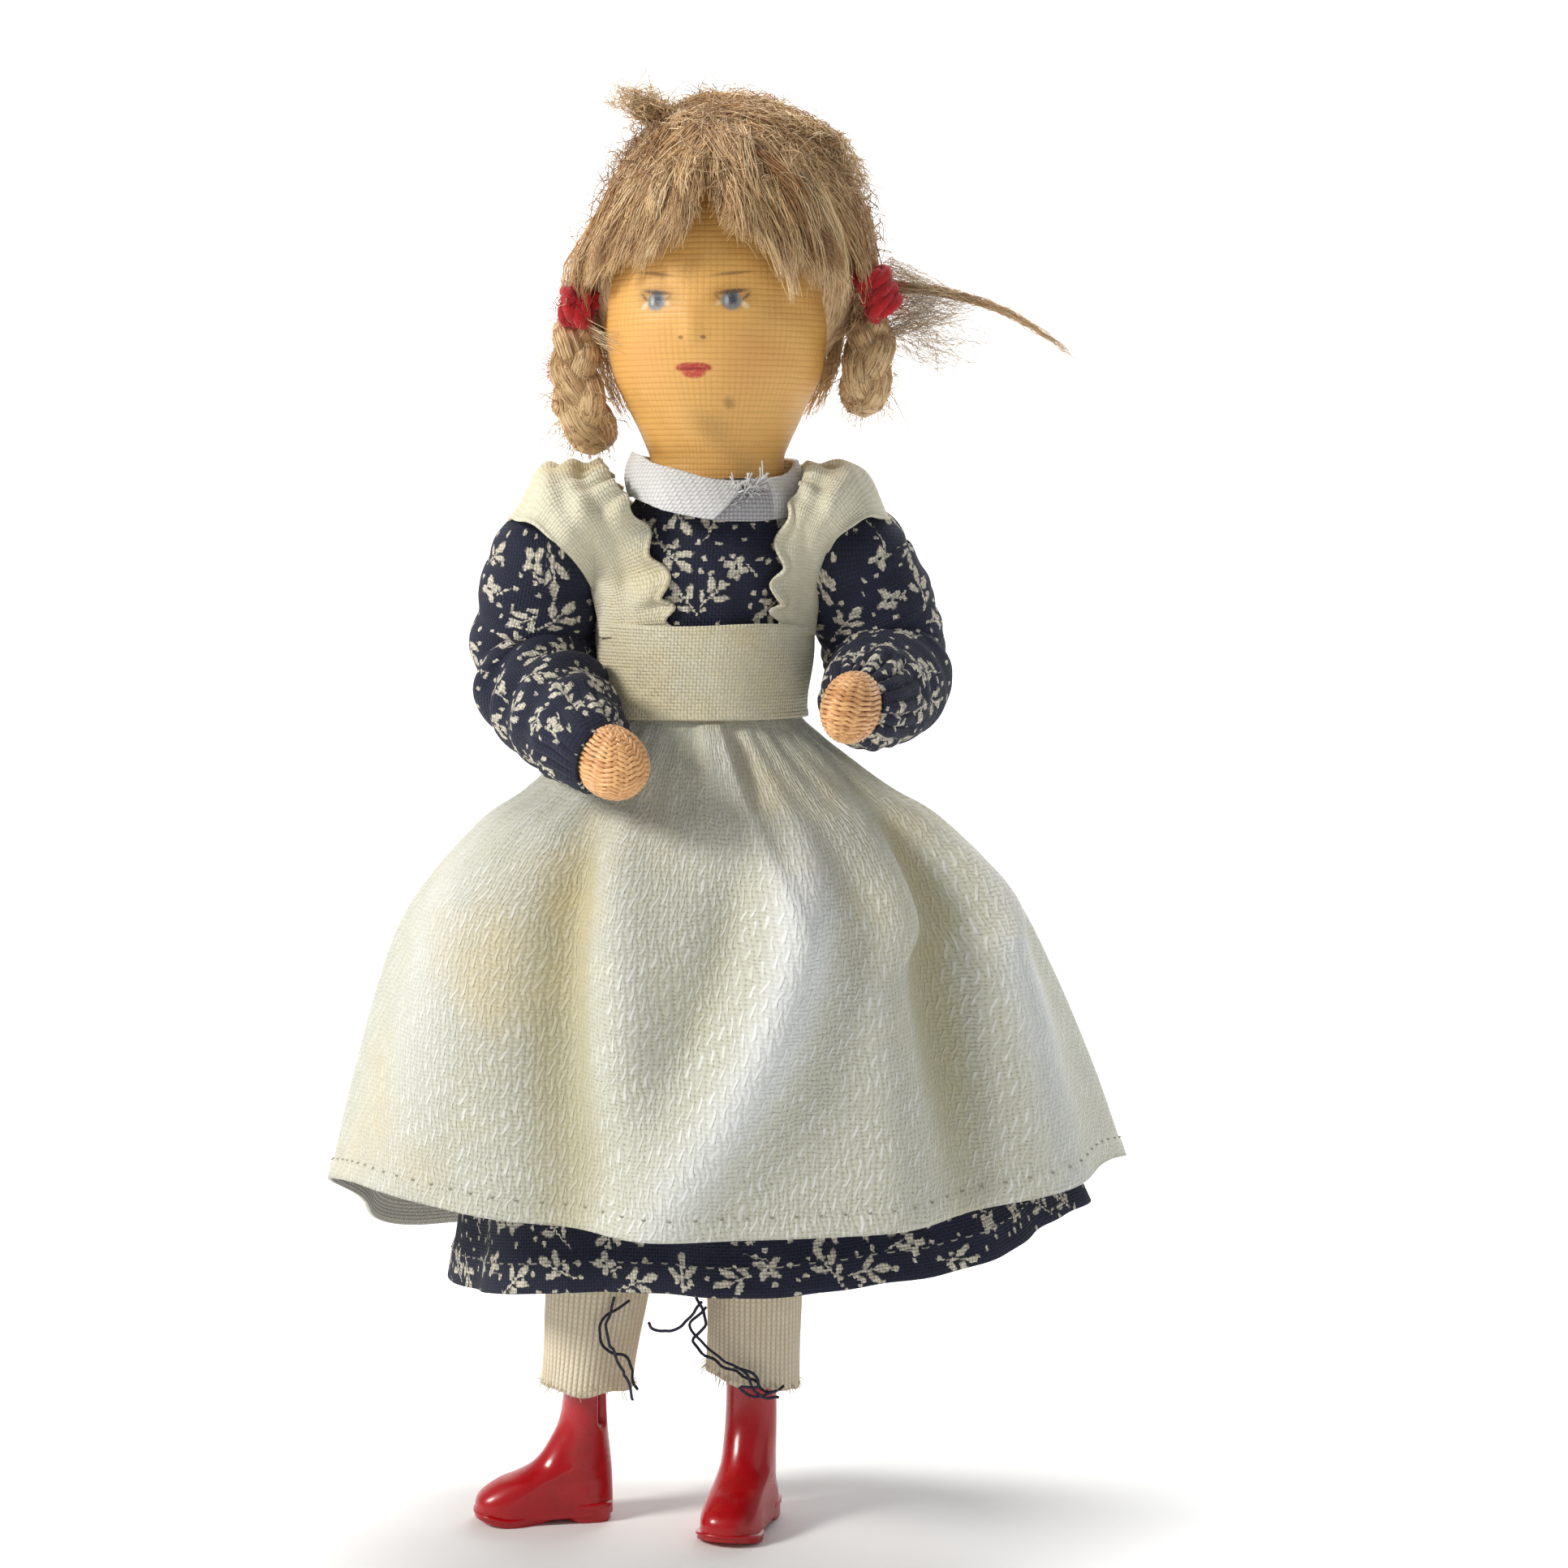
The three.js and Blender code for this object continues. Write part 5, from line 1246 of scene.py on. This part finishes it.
# strap: a wide strip over the shoulder, crumpled, its inner edge ruffled, its outer edge drooping
def makeStrap(side, way):
    rail = straps[side]["rail"] + strapBack
    path = spline([(armature["torsoX"] + way * x, y, z) for x, y, z in rail], strap["rows"])
    ahead = unit(np.gradient(path, axis=0))
    across = unit(np.array([1.0, 0, 0.05 * way]) - ahead * ahead[:, :1])
    out = unit(np.cross(across, ahead))
    t = shares(strap["rows"])[:, None]
    w = np.linspace(-1, 1, strap["columns"])[None]
    half = through(straps[side]["half"] + strap["halfBack"])(t)
    phase = t * 104 + 2 * np.sin(t * 17)
    scallop = np.sin(phase) * (0.65 + 0.35 * np.sin(t * 13))
    u = way * (w * half - strap["ruffle"] * scallop * smoothstep(-w, 0.25, 1))
    crumple = 0.3 * ripple(t * 30 + w * 2.6, 24 + way, 1.3) + 0.34 * ripple(w * 6 + t * 11, 25 + way, 1.2)
    pleats = 0.4 * np.cos(phase + 1.1) * smoothstep(-w, -0.3, 0.9)
    outer = smoothstep(w, 0.0, 1)
    tucked = smoothstep(t, 0.02, 0.1) * smoothstep(1 - t, 0.02, 0.1)
    rise = tucked * (0.5 + crumple + pleats - strap["droop"] * outer**2 * bump(t, 0.5, 0.19))
    rise = rise - 0.5 * outer * (1 - bump(t, 0.47, 0.22))
    points = path[:, None] + u[..., None] * across[:, None] + rise[..., None] * out[:, None]
    # near the band both ends follow the body's oval and go down inside the band
    x, y, z = np.moveaxis(points, -1, 0)
    grow = 0.7 + tucked * (0.3 + 0.5 * (crumple + pleats))
    bow = np.sqrt(1 - np.clip((x - trunkLean(z)) / (trunkWide(z) + grow + 1.2), -0.95, 0.95) ** 2)
    near = np.maximum(1 - smoothstep(t, 0.12, 0.3), smoothstep(t, 0.72, 0.88))
    points[..., 1] = lerp(y, np.where(t < 0.5, -1, 1) * (trunkDeep(z) + grow) * bow, near)
    uv = stacked(w * 3.2, lengthAlong(path)[:, None])
    piece = clothPiece("strap_" + side, points, "strap", uv, 0.34, 0.0, flip=way > 0)
    finishPiece(piece, "apron_cotton", "torso", "apron_strap_" + side)


makeBodice()
makeCollar()
makeWaistband()
for side, way in sideNames.items():
    makeStrap(side, way)
print("bodice, collar and apron bib made")

skirt = {"wide": 30.6, "deep": 22.0, "drop": 36.8, "rise": 2.9, "sag": 6.5, "back": 1.35, "reach": 155.0, "top": 63.3}
flare = through([(-0.1, 0), (0, 0), (0.05, 0.06), (0.1, 0.15), (0.17, 0.28), (0.236, 0.43), (0.403, 0.66),
                 (0.576, 0.79), (0.75, 0.885), (1, 1)])
# apron folds: a few named by the angle they run at from waist to hem, and gathers that die out below the band
foldLines = {
    "sideValley": {"run": [(0, -34), (0.45, -28), (1, -22)], "wide": 8, "deep": -2.9, "hem": 0.6},
    "sideRidge": {"run": [(0, -22), (0.45, -17), (1, -12)], "wide": 7, "deep": 1.3, "hem": 0.0},
    "sideRoll": {"run": [(0, -74), (0.5, -54), (1, -52)], "wide": 13, "deep": 1.4, "hem": 0.6},
    "sweep": {"run": [(0, 25), (0.28, 20), (0.6, 9), (1, -9)], "wide": 8, "deep": 2.6, "hem": 0.6},
    "sweepValley": {"run": [(0, 14), (0.28, 10), (0.6, -1), (1, -18)], "wide": 7, "deep": -1.5, "hem": 0.0},
    "edgeValley": {"run": [(0, 62), (0.4, 52), (0.55, 43), (1, 38)], "wide": 7.5, "deep": -2.9, "hem": 0.45},
    "edgeRidge": {"run": [(0, 78), (0.4, 68), (0.55, 59), (1, 54)], "wide": 9, "deep": 2.0, "hem": 0.7},
    "panelRidge": {"run": [(0, 46), (0.4, 38), (0.55, 29), (1, 24)], "wide": 7, "deep": 0.9, "hem": 0.6},
}


# fold height: a bell about each fold's line, one pleat, gathers under the band and small creases
def apronFold(a, v):
    total = 1.1 * np.cos(np.radians(a * 9)) * smoothstep(np.abs(a), 70, 100)
    for line in foldLines.values():
        high = line["deep"] * lerp(1, line["hem"], smoothstep(v, 0.6, 1))
        total = total + high * bump(a, through(line["run"])(v), line["wide"])
    edge = lerp(11, 17, v / 0.4)
    pleat = 1.2 * (1 - smoothstep(a, edge - 1.5, edge + 2.5)) * smoothstep(a, edge - 16, edge - 4)
    pleat = pleat * (1 - smoothstep(v, 0.2, 0.55))
    gather = 0.5 * ripple(a * 0.36, 31, 1.0) * (1 - smoothstep(v, 0.1, 0.4))
    crease = 0.14 * ripple(a * 0.2 + v * 9, 32, 1.0) * smoothstep(v, 0.2, 0.6)
    return total * smoothstep(v, 0.06, 0.42) + (pleat + gather) * smoothstep(v, 0, 0.05) + crease


# x, y and z of the cloth at angle a from the front and share v from waist to hem; the back left hem hangs lower
def apronPoints(a, v, out=0.0):
    way = np.radians(a - 90)
    spread = flare(v)
    fold = apronFold(a, v) + out
    wide = lerp(7.5, skirt["wide"], spread) + fold
    deep = lerp(5.85, skirt["deep"], spread) + fold
    lift = skirt["rise"] * (bump(a, 70, 30) + 0.62 * bump(a, -58, 26)) - skirt["sag"] * smoothstep(-a, 80, 128)
    x = armature["torsoX"] * (1 - v) + wide * np.cos(way)
    return stacked(x, deep * np.sin(way) + skirt["back"] * spread, skirt["top"] - v * (skirt["drop"] - lift))


# bakes the piece's placement into its mesh
def bendSkirt(piece):
    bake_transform(piece)


# hem stitches: short threads sunk into the cloth at an even step
def hemStitches(name, clothAt, at, long, v, out, sink, thick, seed, palest, slot):
    s = np.linspace(-0.5, 0.5, 5)[None]
    paths = clothAt(at[:, None] + s * long, np.full((len(at), 5), v), out - sink * s**2 * 4)
    tint = np.random.default_rng(seed).uniform(0, palest, len(at))
    stitches = strandPiece(name, paths, thick, looks["greyThread"], tint, 5)
    bendSkirt(stitches)
    finishPiece(stitches, slot, None)


# apron skirt: those points from edge to edge and from waist to hem, with a step at the hem
def makeApronSkirt():
    reach = skirt["reach"]
    a = np.linspace(-reach, reach, 261)[None]
    v = np.linspace(-0.03, 1, 92)[:, None]
    points = apronPoints(a, v, 0.16 * smoothstep(v, 0.955, 0.962))
    uv = stacked(np.radians(a) * lerp(17, 26.5, v), v * 38)
    piece = clothPiece("apronSkirtCloth", points, "apron", uv, 0.32, flip=True)
    # share of fold height, read by the cotton: painted shade in the valleys, a painted highlight on the ridges
    share = np.clip(0.5 + apronFold(a, v) / 5.2, 0, 1)
    piece.data.attributes.new("fold", "FLOAT", "POINT").data.foreach_set("value", share.ravel().astype(np.float32))
    # the solidified wall takes the darker reverse, painted shade inside the skirt
    piece.modifiers["cloth"].material_offset = 1
    piece.data.materials.append(looks["apronReverseShade"])
    bendSkirt(piece)
    finishPiece(piece, "apron_cotton", None, "apron_skirt")
    at = np.arange(-reach + 2, reach - 2, 3.4)
    hemStitches("apronHemStitches", apronPoints, at, 0.7, 0.958, 0.14, 0.3, 0.075, 3, 0.5, "apron_cotton")


under = {"wide": 24.2, "deep": 16.8, "drop": 41.8, "shift": 3.1, "hitch": 4.0, "dip": 2.6}


# the same for the dress: flared ovals with eight folds, the hem hitched up at the left and low at the right
def dressPoints(a, v, out=0.0):
    way = np.radians(a)
    side = np.cos(way)
    spread = flare(v) * (0.74 + 0.26 * v)
    fold = 0.7 * np.cos(np.radians(a * 8 + 40)) * smoothstep(v, 0.2, 0.8)
    fold = fold + 0.3 * ripple(a * 0.3, 41, 1.0) * smoothstep(v, 0.3, 0.9) + out
    x = lerp(armature["torsoX"], under["shift"], v) + (lerp(6.8, under["wide"], spread) + fold) * side
    y = (lerp(5.2, under["deep"], spread) + fold) * np.sin(way)
    lift = np.where(side > 0, under["hitch"] * side**2, under["dip"] * side**3)
    return stacked(x, y, skirt["top"] - v * (under["drop"] - lift))


# dress skirt: a closed tube of those points, with a step at the hem
def makeDressSkirt():
    turn = np.linspace(-180, 180, 193)[None]
    v = shares(72)[:, None]
    points = dressPoints(turn[:, :-1] + 270, v, 0.14 * smoothstep(v, 0.93, 0.938))
    uv = stacked(np.radians(turn) * lerp(14, 22.5, v), v * 43)
    piece = clothPiece("dressSkirtCloth", points, "print", uv, 0.3, loop=True, flip=True)
    bendSkirt(piece)
    finishPiece(piece, "print_cotton", None, "dress_skirt")
    at = np.arange(0, 360, 3.0)
    hemStitches("dressHemStitches", dressPoints, at, 2.0, 0.948, 0.2, 0.25, 0.07, 4, 0.6, "print_cotton")


makeApronSkirt()
makeDressSkirt()
print("skirts made")

hand = {"long": 6.4, "round": 2.5, "wide": {"right": 2.3, "left": 1.95}, "thread": 0.15, "rows": 19,
        "turn": {"right": (0.42, 0, -0.1), "left": (-0.1, 0, 0.1)}}
sleeve = {"rows": 120, "columns": 96, "bend": 4.4, "girth": 26,
          "share": [0, 0.06, 0.14, 0.3, 0.45, 0.6, 0.8, 0.93, 1.0], "radius": [0.4, 2.9, 4.2, 4.5, 4.4, 4.2, 3.6, 2.9]}


# along the forearm, turned a little
def handAxis(side):
    e, w = joints(side, "elbow", "wrist")
    return unit(unit(w - e) + np.array(hand["turn"][side]))


# sleeve: a full tube from the shoulder to a gathered wrist, creased at the elbow
def makeSleeve(side, way):
    s, e, w = joints(side, "shoulder", "elbow", "wrist")
    before, after = toward(e, s, sleeve["bend"]), toward(e, w, sleeve["bend"])
    q = shares(6)[:, None]
    turn = (1 - q) ** 2 * before + 2 * q * (1 - q) * e + q**2 * after
    top = [s + (0, 0, 4.3), s + (0, 0, 2.6), s, lerp(before, s, 0.5)]
    path = spline(np.vstack([*top, turn, lerp(after, w, 0.6), w, w + handAxis(side) * 1.9]), sleeve["rows"])
    t = shares(sleeve["rows"])[:, None]
    radius = sleeve["radius"] + [hand["wide"][side] - 0.05]
    r = through(np.stack([sleeve["share"], radius], 1))(t)
    a = ringAngles(sleeve["columns"])[None]
    wrist = smoothstep(t, 0.72, 0.93) * (1 - 0.7 * smoothstep(t, 0.95, 1))
    r = r + 0.32 * ripple(a * 15 + 3 * t, 51 + way, 1.0) * wrist
    r = r + 0.42 * ripple(t * 40 + np.sin(a) * 2.6, 53 + way, 1.0) * (0.35 + bump(t, 0.55, 0.2))
    r = r + 0.15 * ripple(t * 70 - np.cos(a) * 4.0, 55 + way, 1.0) * (0.4 + bump(t, 0.5, 0.25))
    points = tubeGrid(path, r, sleeve["columns"], (1, 0.02, 0.05))[0]
    uv = stacked(shares(sleeve["columns"] + 1)[None] * sleeve["girth"], t * lengthAlong(path)[-1]) + (way * 7.0, 3.0)
    piece = clothPiece("sleeveCloth_" + side, points, "print", uv, 0.32, loop=True)
    start, end = vec(toward(e, s, 3.6)), vec(toward(e, w, 3.6))
    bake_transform(piece)
    finishPiece(piece, "print_cotton", None, "sleeve_" + side)


# hand: an oval pad wound with floss lengthways; the right one is wound crosswise in a chevron
def makeHand(side, way):
    axis = handAxis(side)
    across = unit(np.cross(axis, (0.25 * way, 0, 1.0)))
    up = np.cross(across, axis)
    centre = joints(side, "wrist")[0] + axis * (hand["long"] / 2 - 0.4)

    # a point on the pad: tall is the angle above its flat, turn the angle in it, lift the height off it
    def oval(tall, turn, lift):
        tall, turn, lift = (x[..., None] for x in np.broadcast_arrays(tall, turn, lift))
        flat = np.cos(turn) * axis * (hand["long"] / 2 - 0.1 + lift)
        flat = flat + np.sin(turn) * across * (hand["wide"][side] + lift)
        return centre + np.cos(tall) * flat + np.sin(tall) * up * (hand["round"] + lift)

    points = oval(np.linspace(-1, 1, 30)[:, None] * math.pi / 2, ringAngles(40)[None], -0.14)
    pad = closeForm(gridPiece("handPad_" + side, points, looks["floss"], np.full((30, 41, 2), 0.2), loop=True))
    finishPiece(pad, "floss", "forearm_" + side, "hand_" + side)
    turn = np.linspace(-math.pi, math.pi, 64)[None]
    rows = np.linspace(-1.3, 1.3, hand["rows"])[:, None]
    if side == "right":
        bend = 0.5 * np.abs(np.sin(turn))
        families = [rows - bend + 0.2, rows + bend - 0.2]
    else:
        families = [rows + 0.12 * np.sin(turn * 2 + 0.6), rows + 0.065 - 0.14 * np.sin(turn)]
    turns = np.concatenate([oval(np.clip(rise, -1.5, 1.5), turn, 0.03 + 0.07 * np.sin(turn * 9 + 3 * k + 2 * rise))
                            for k, rise in enumerate(families)])
    tint = np.random.default_rng(95 + way).uniform(0.2, 1, len(turns))
    threads = strandPiece("handFloss_" + side, turns, hand["thread"], looks["floss"], tint, 6)
    finishPiece(threads, "floss", "forearm_" + side)


for side, way in sideNames.items():
    makeSleeve(side, way)
    makeHand(side, way)
print("arms made")

stocking = {"right": {"radius": 4.25, "taper": 0.7, "slant": 0.3},
            "left": {"radius": 3.85, "taper": 0.25, "slant": 1.5},
            "top": 6.2, "hem": 10.4, "wale": 0.05, "columns": 162, "flat": (27.0, 34)}


# a ring of radius r about the leg's axis, at share t from the top to the foot
def legPoint(side, t, a, r):
    h, k = joints(side, "hip", "ankle")
    middle = lerp(toward(h, k, stocking["top"]), np.array([k[0], 0, stocking["hem"]]), t[..., None])
    return middle + stacked(r * np.cos(a), r * np.sin(a), 0)


# stocking: a tube with fine wales, drawn in at the foot and cut at a slant
def makeStocking(side, way):
    leg = stocking[side]
    t = shares(70)[:, None]
    a = ringAngles(stocking["columns"])[None]
    r = leg["radius"] - 0.25 * np.sin(math.pi * t) + stocking["wale"] * np.abs(np.sin(a * 27))
    r = r + 0.12 * ripple(a * 3 + t * 7, 57 + way, 1.2) - leg["taper"] * smoothstep(t, 0.72, 1)
    points = legPoint(side, t, a, r)
    raw = 0.3 * ripple(a * 4, 59 + way, 1.0) + leg["slant"] * (0.5 - 0.5 * np.cos(a))
    points[..., 2] += raw * smoothstep(t, 0.75, 1)
    wide, tall = stocking["flat"]
    uv = stacked(shares(stocking["columns"] + 1)[None] * wide, t * tall)
    piece = clothPiece("stockingKnit_" + side, points, "knit", uv, 0.4, loop=True, flip=True)
    h, knee, k = joints(side, "hip", "knee", "ankle")
    start, end = vec(toward(knee, h, 4)), vec(toward(knee, k, 4))
    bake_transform(piece)
    finishPiece(piece, "knit", None, "stocking_" + side)
    # raw foot edge
    draw = np.random.default_rng(101 + way)
    n = 130
    at = draw.uniform(0, fullTurn, n)
    root = legPoint(side, np.full(n, 0.99), at, leg["radius"] - 0.1 - leg["taper"])
    root[:, 2] += 0.2 + leg["slant"] * (0.5 - 0.5 * np.cos(at))
    out = stacked(0.2 * np.cos(at), 0.2 * np.sin(at), draw.uniform(-0.7, -0.1, n)) + draw.normal(0, 0.16, (n, 3))
    fray = frayPiece("stockingFray_" + side, root, out, 0.2, 7, 0.035, "knitThread", 0, draw)
    finishPiece(fray, "knit", "shin_" + side)


# a few loose dark threads from the skirt's seam
threadRoutes = {
    "right": [[(-7.4, -4.3, 18.2), (-9.6, -4.6, 16.6), (-9.4, -4.7, 14.6), (-7.6, -4.5, 13.6), (-7.0, -4.2, 11.2)],
              [(-8.6, -4.4, 18.4), (-9.2, -4.8, 15.8), (-7.9, -4.7, 12.6), (-7.2, -4.4, 10.6)]],
    "left": [[(-2.4, -3.4, 18.4), (-1.6, -4.2, 16.4), (-2.6, -4.0, 14.8), (-0.4, -4.5, 13.2), (1.6, -4.6, 12.2),
              (3.4, -4.2, 10.8)],
             [(-1.6, -3.8, 17.6), (-2.9, -3.6, 15.9), (-1.0, -4.4, 14.2), (1.2, -4.7, 12.6), (2.2, -4.8, 11.4),
              (4.0, -3.8, 10.2)],
             [(0.6, -4.4, 13.0), (2.0, -4.8, 12.6), (2.4, -4.8, 11.6), (1.0, -4.8, 11.4), (2.8, -4.6, 10.7),
              (4.3, -3.6, 11.4)],
             [(-1.9, -3.8, 18.0), (-3.4, -4.0, 16.2), (-4.9, -4.1, 15.7), (-6.2, -4.3, 16.4)]],
}


# threads: smooth curves through each route, lightly frizzed
def makeLooseThreads(side):
    lines = frizz(np.array([spline(line, 40) for line in threadRoutes[side]]), 0.14, 111)
    tint = np.linspace(0.2, 0.8, len(lines))
    threads = strandPiece("looseThreads_" + side, lines, 0.12, looks["navyThread"], tint, 6)
    finishPiece(threads, "print_cotton", "shin_" + side)


boot = {"toe": 8.95, "heel": 1.95, "half": 2.6, "top": 13.2, "columns": 96, "turn": {"right": 190, "left": -105},
        "slot": {"right": 140, "left": 180}}
sole = {"x": [-1.97, -1.5, 0.6, 2.2, 4.2, 6.2, 7.9, 8.7, 8.95], "half": [0, 0.72, 0.86, 0.78, 0.8, 1.0, 0.86, 0.5, 0],
        "wide": 2.62, "centre": (3.4, 0), "points": 120,
        "levels": [(0.0, 0.94), (0.1, 0.97), (0.55, 0.965), (0.64, 1.0), (0.86, 1.0), (0.95, 0.96)]}


# a row drawn together to its middle
def pole(row):
    return row * 0 + row.mean(1, keepdims=True)


# boot upper: ovals stacked from the welt to the top, with a slot down the back and a well inside
def bootUpper(side):
    toe, heel, wide, top = (boot[k] for k in ("toe", "heel", "half", "top"))
    back = through([(0, heel), (4, heel - 0.05), (8, heel - 0.4), (top, heel - 0.5)])
    front = through([(0.6, toe - 0.1), (2, toe - 0.35), (3.1, toe - 1.7), (3.7, toe - 3.2), (4.6, toe - 4.8),
                     (6.2, toe - 6), (8.4, toe - 6.9), (top, toe - 7.4)])
    half = through([(0.6, wide), (2.4, wide - 0.1), (4, wide - 0.4), (6, wide - 0.55), (top, wide - 0.65)])
    z = np.concatenate([np.linspace(0.5, 5, 40), np.linspace(5, top, 30)[1:]])[:, None]
    a = ringAngles(boot["columns"])[None]
    middle, reach = (front(z) - back(z)) / 2, (front(z) + back(z)) / 2
    nip = 1 - 0.14 * bump(np.cos(a), -0.1, 0.45) * smoothstep(reach, 3, 5)
    pressed = 1 - 0.6 * smoothstep(z, 7.4, 8.0) * bump(a, math.radians(boot["slot"][side]), 0.2)
    full = lerp(0.72, 1.0, smoothstep(z, 1.4, 4.6))
    x, y = (np.sign(c) * np.abs(c) ** full * pressed for c in (np.cos(a), np.sin(a)))
    upper = stacked(middle + reach * x, half(z) * y * nip, z)
    rim = upper[-1:]
    lip = rim * (0.86, 0.86, 1) + (0.02, 0, -0.15)
    well = rim * (0.8, 0.8, 1) + (0.02, 0, -2.5)
    return np.concatenate([pole(upper[:1]), upper, rim * (0.97, 0.97, 1) + (0, 0, 0.08), lip, well, well * (0, 0, 1)])


# sole: the welt climbs over the heel block, and the waist of the sole is arched
def bootSole():
    right = np.stack([sole["x"], np.array(sole["half"]) * sole["wide"]], 1)
    ring = spline(np.vstack([right, right[-2:0:-1] * (1, -1), right[:1]]), sole["points"] + 1)[:-1]
    high, size = np.array(sole["levels"]).T[:, :, None]
    centre = np.array(sole["centre"])
    flat = centre + (ring - centre) * size[..., None]
    x, y = flat[..., 0], flat[..., 1]
    heelShare = 1 - smoothstep(x, 0.9, 2.2)
    arch = bump(x, 1.9, 0.75) + 0.5 * bump(x, 3.0, 1.0)
    low = np.clip(1 - high / 0.5, 0, 1)
    form = stacked(x, y, high * (0.68 + 0.95 * heelShare) + 0.6 * arch * low + 0.4 * smoothstep(x, 6.2, 8.9))
    return np.concatenate([pole(form[:1]), form, pole(form[-1:])])


# boot: upper and sole turned about the upright axis and moved to the ankle
def makeBoot(side):
    turn = math.radians(boot["turn"][side])
    c, s = math.cos(turn), math.sin(turn)
    spin = np.array([[c, s, 0], [-s, c, 0], [0, 0, 1]])
    for name, form in (("bootUpper_", bootUpper(side)), ("bootSole_", bootSole())):
        form = form @ spin + (armature["ankle"][side][0], 0, 0)
        uv = np.zeros((form.shape[0], form.shape[1] + 1, 2))
        piece = closeForm(gridPiece(name + side, form, looks["boot"], uv, loop=True))
        finishPiece(piece, "boot_plastic", "foot_" + side, "boot_" + side)


for side, way in sideNames.items():
    makeStocking(side, way)
    makeBoot(side)
for side in sideNames:
    makeLooseThreads(side)
print("legs made")
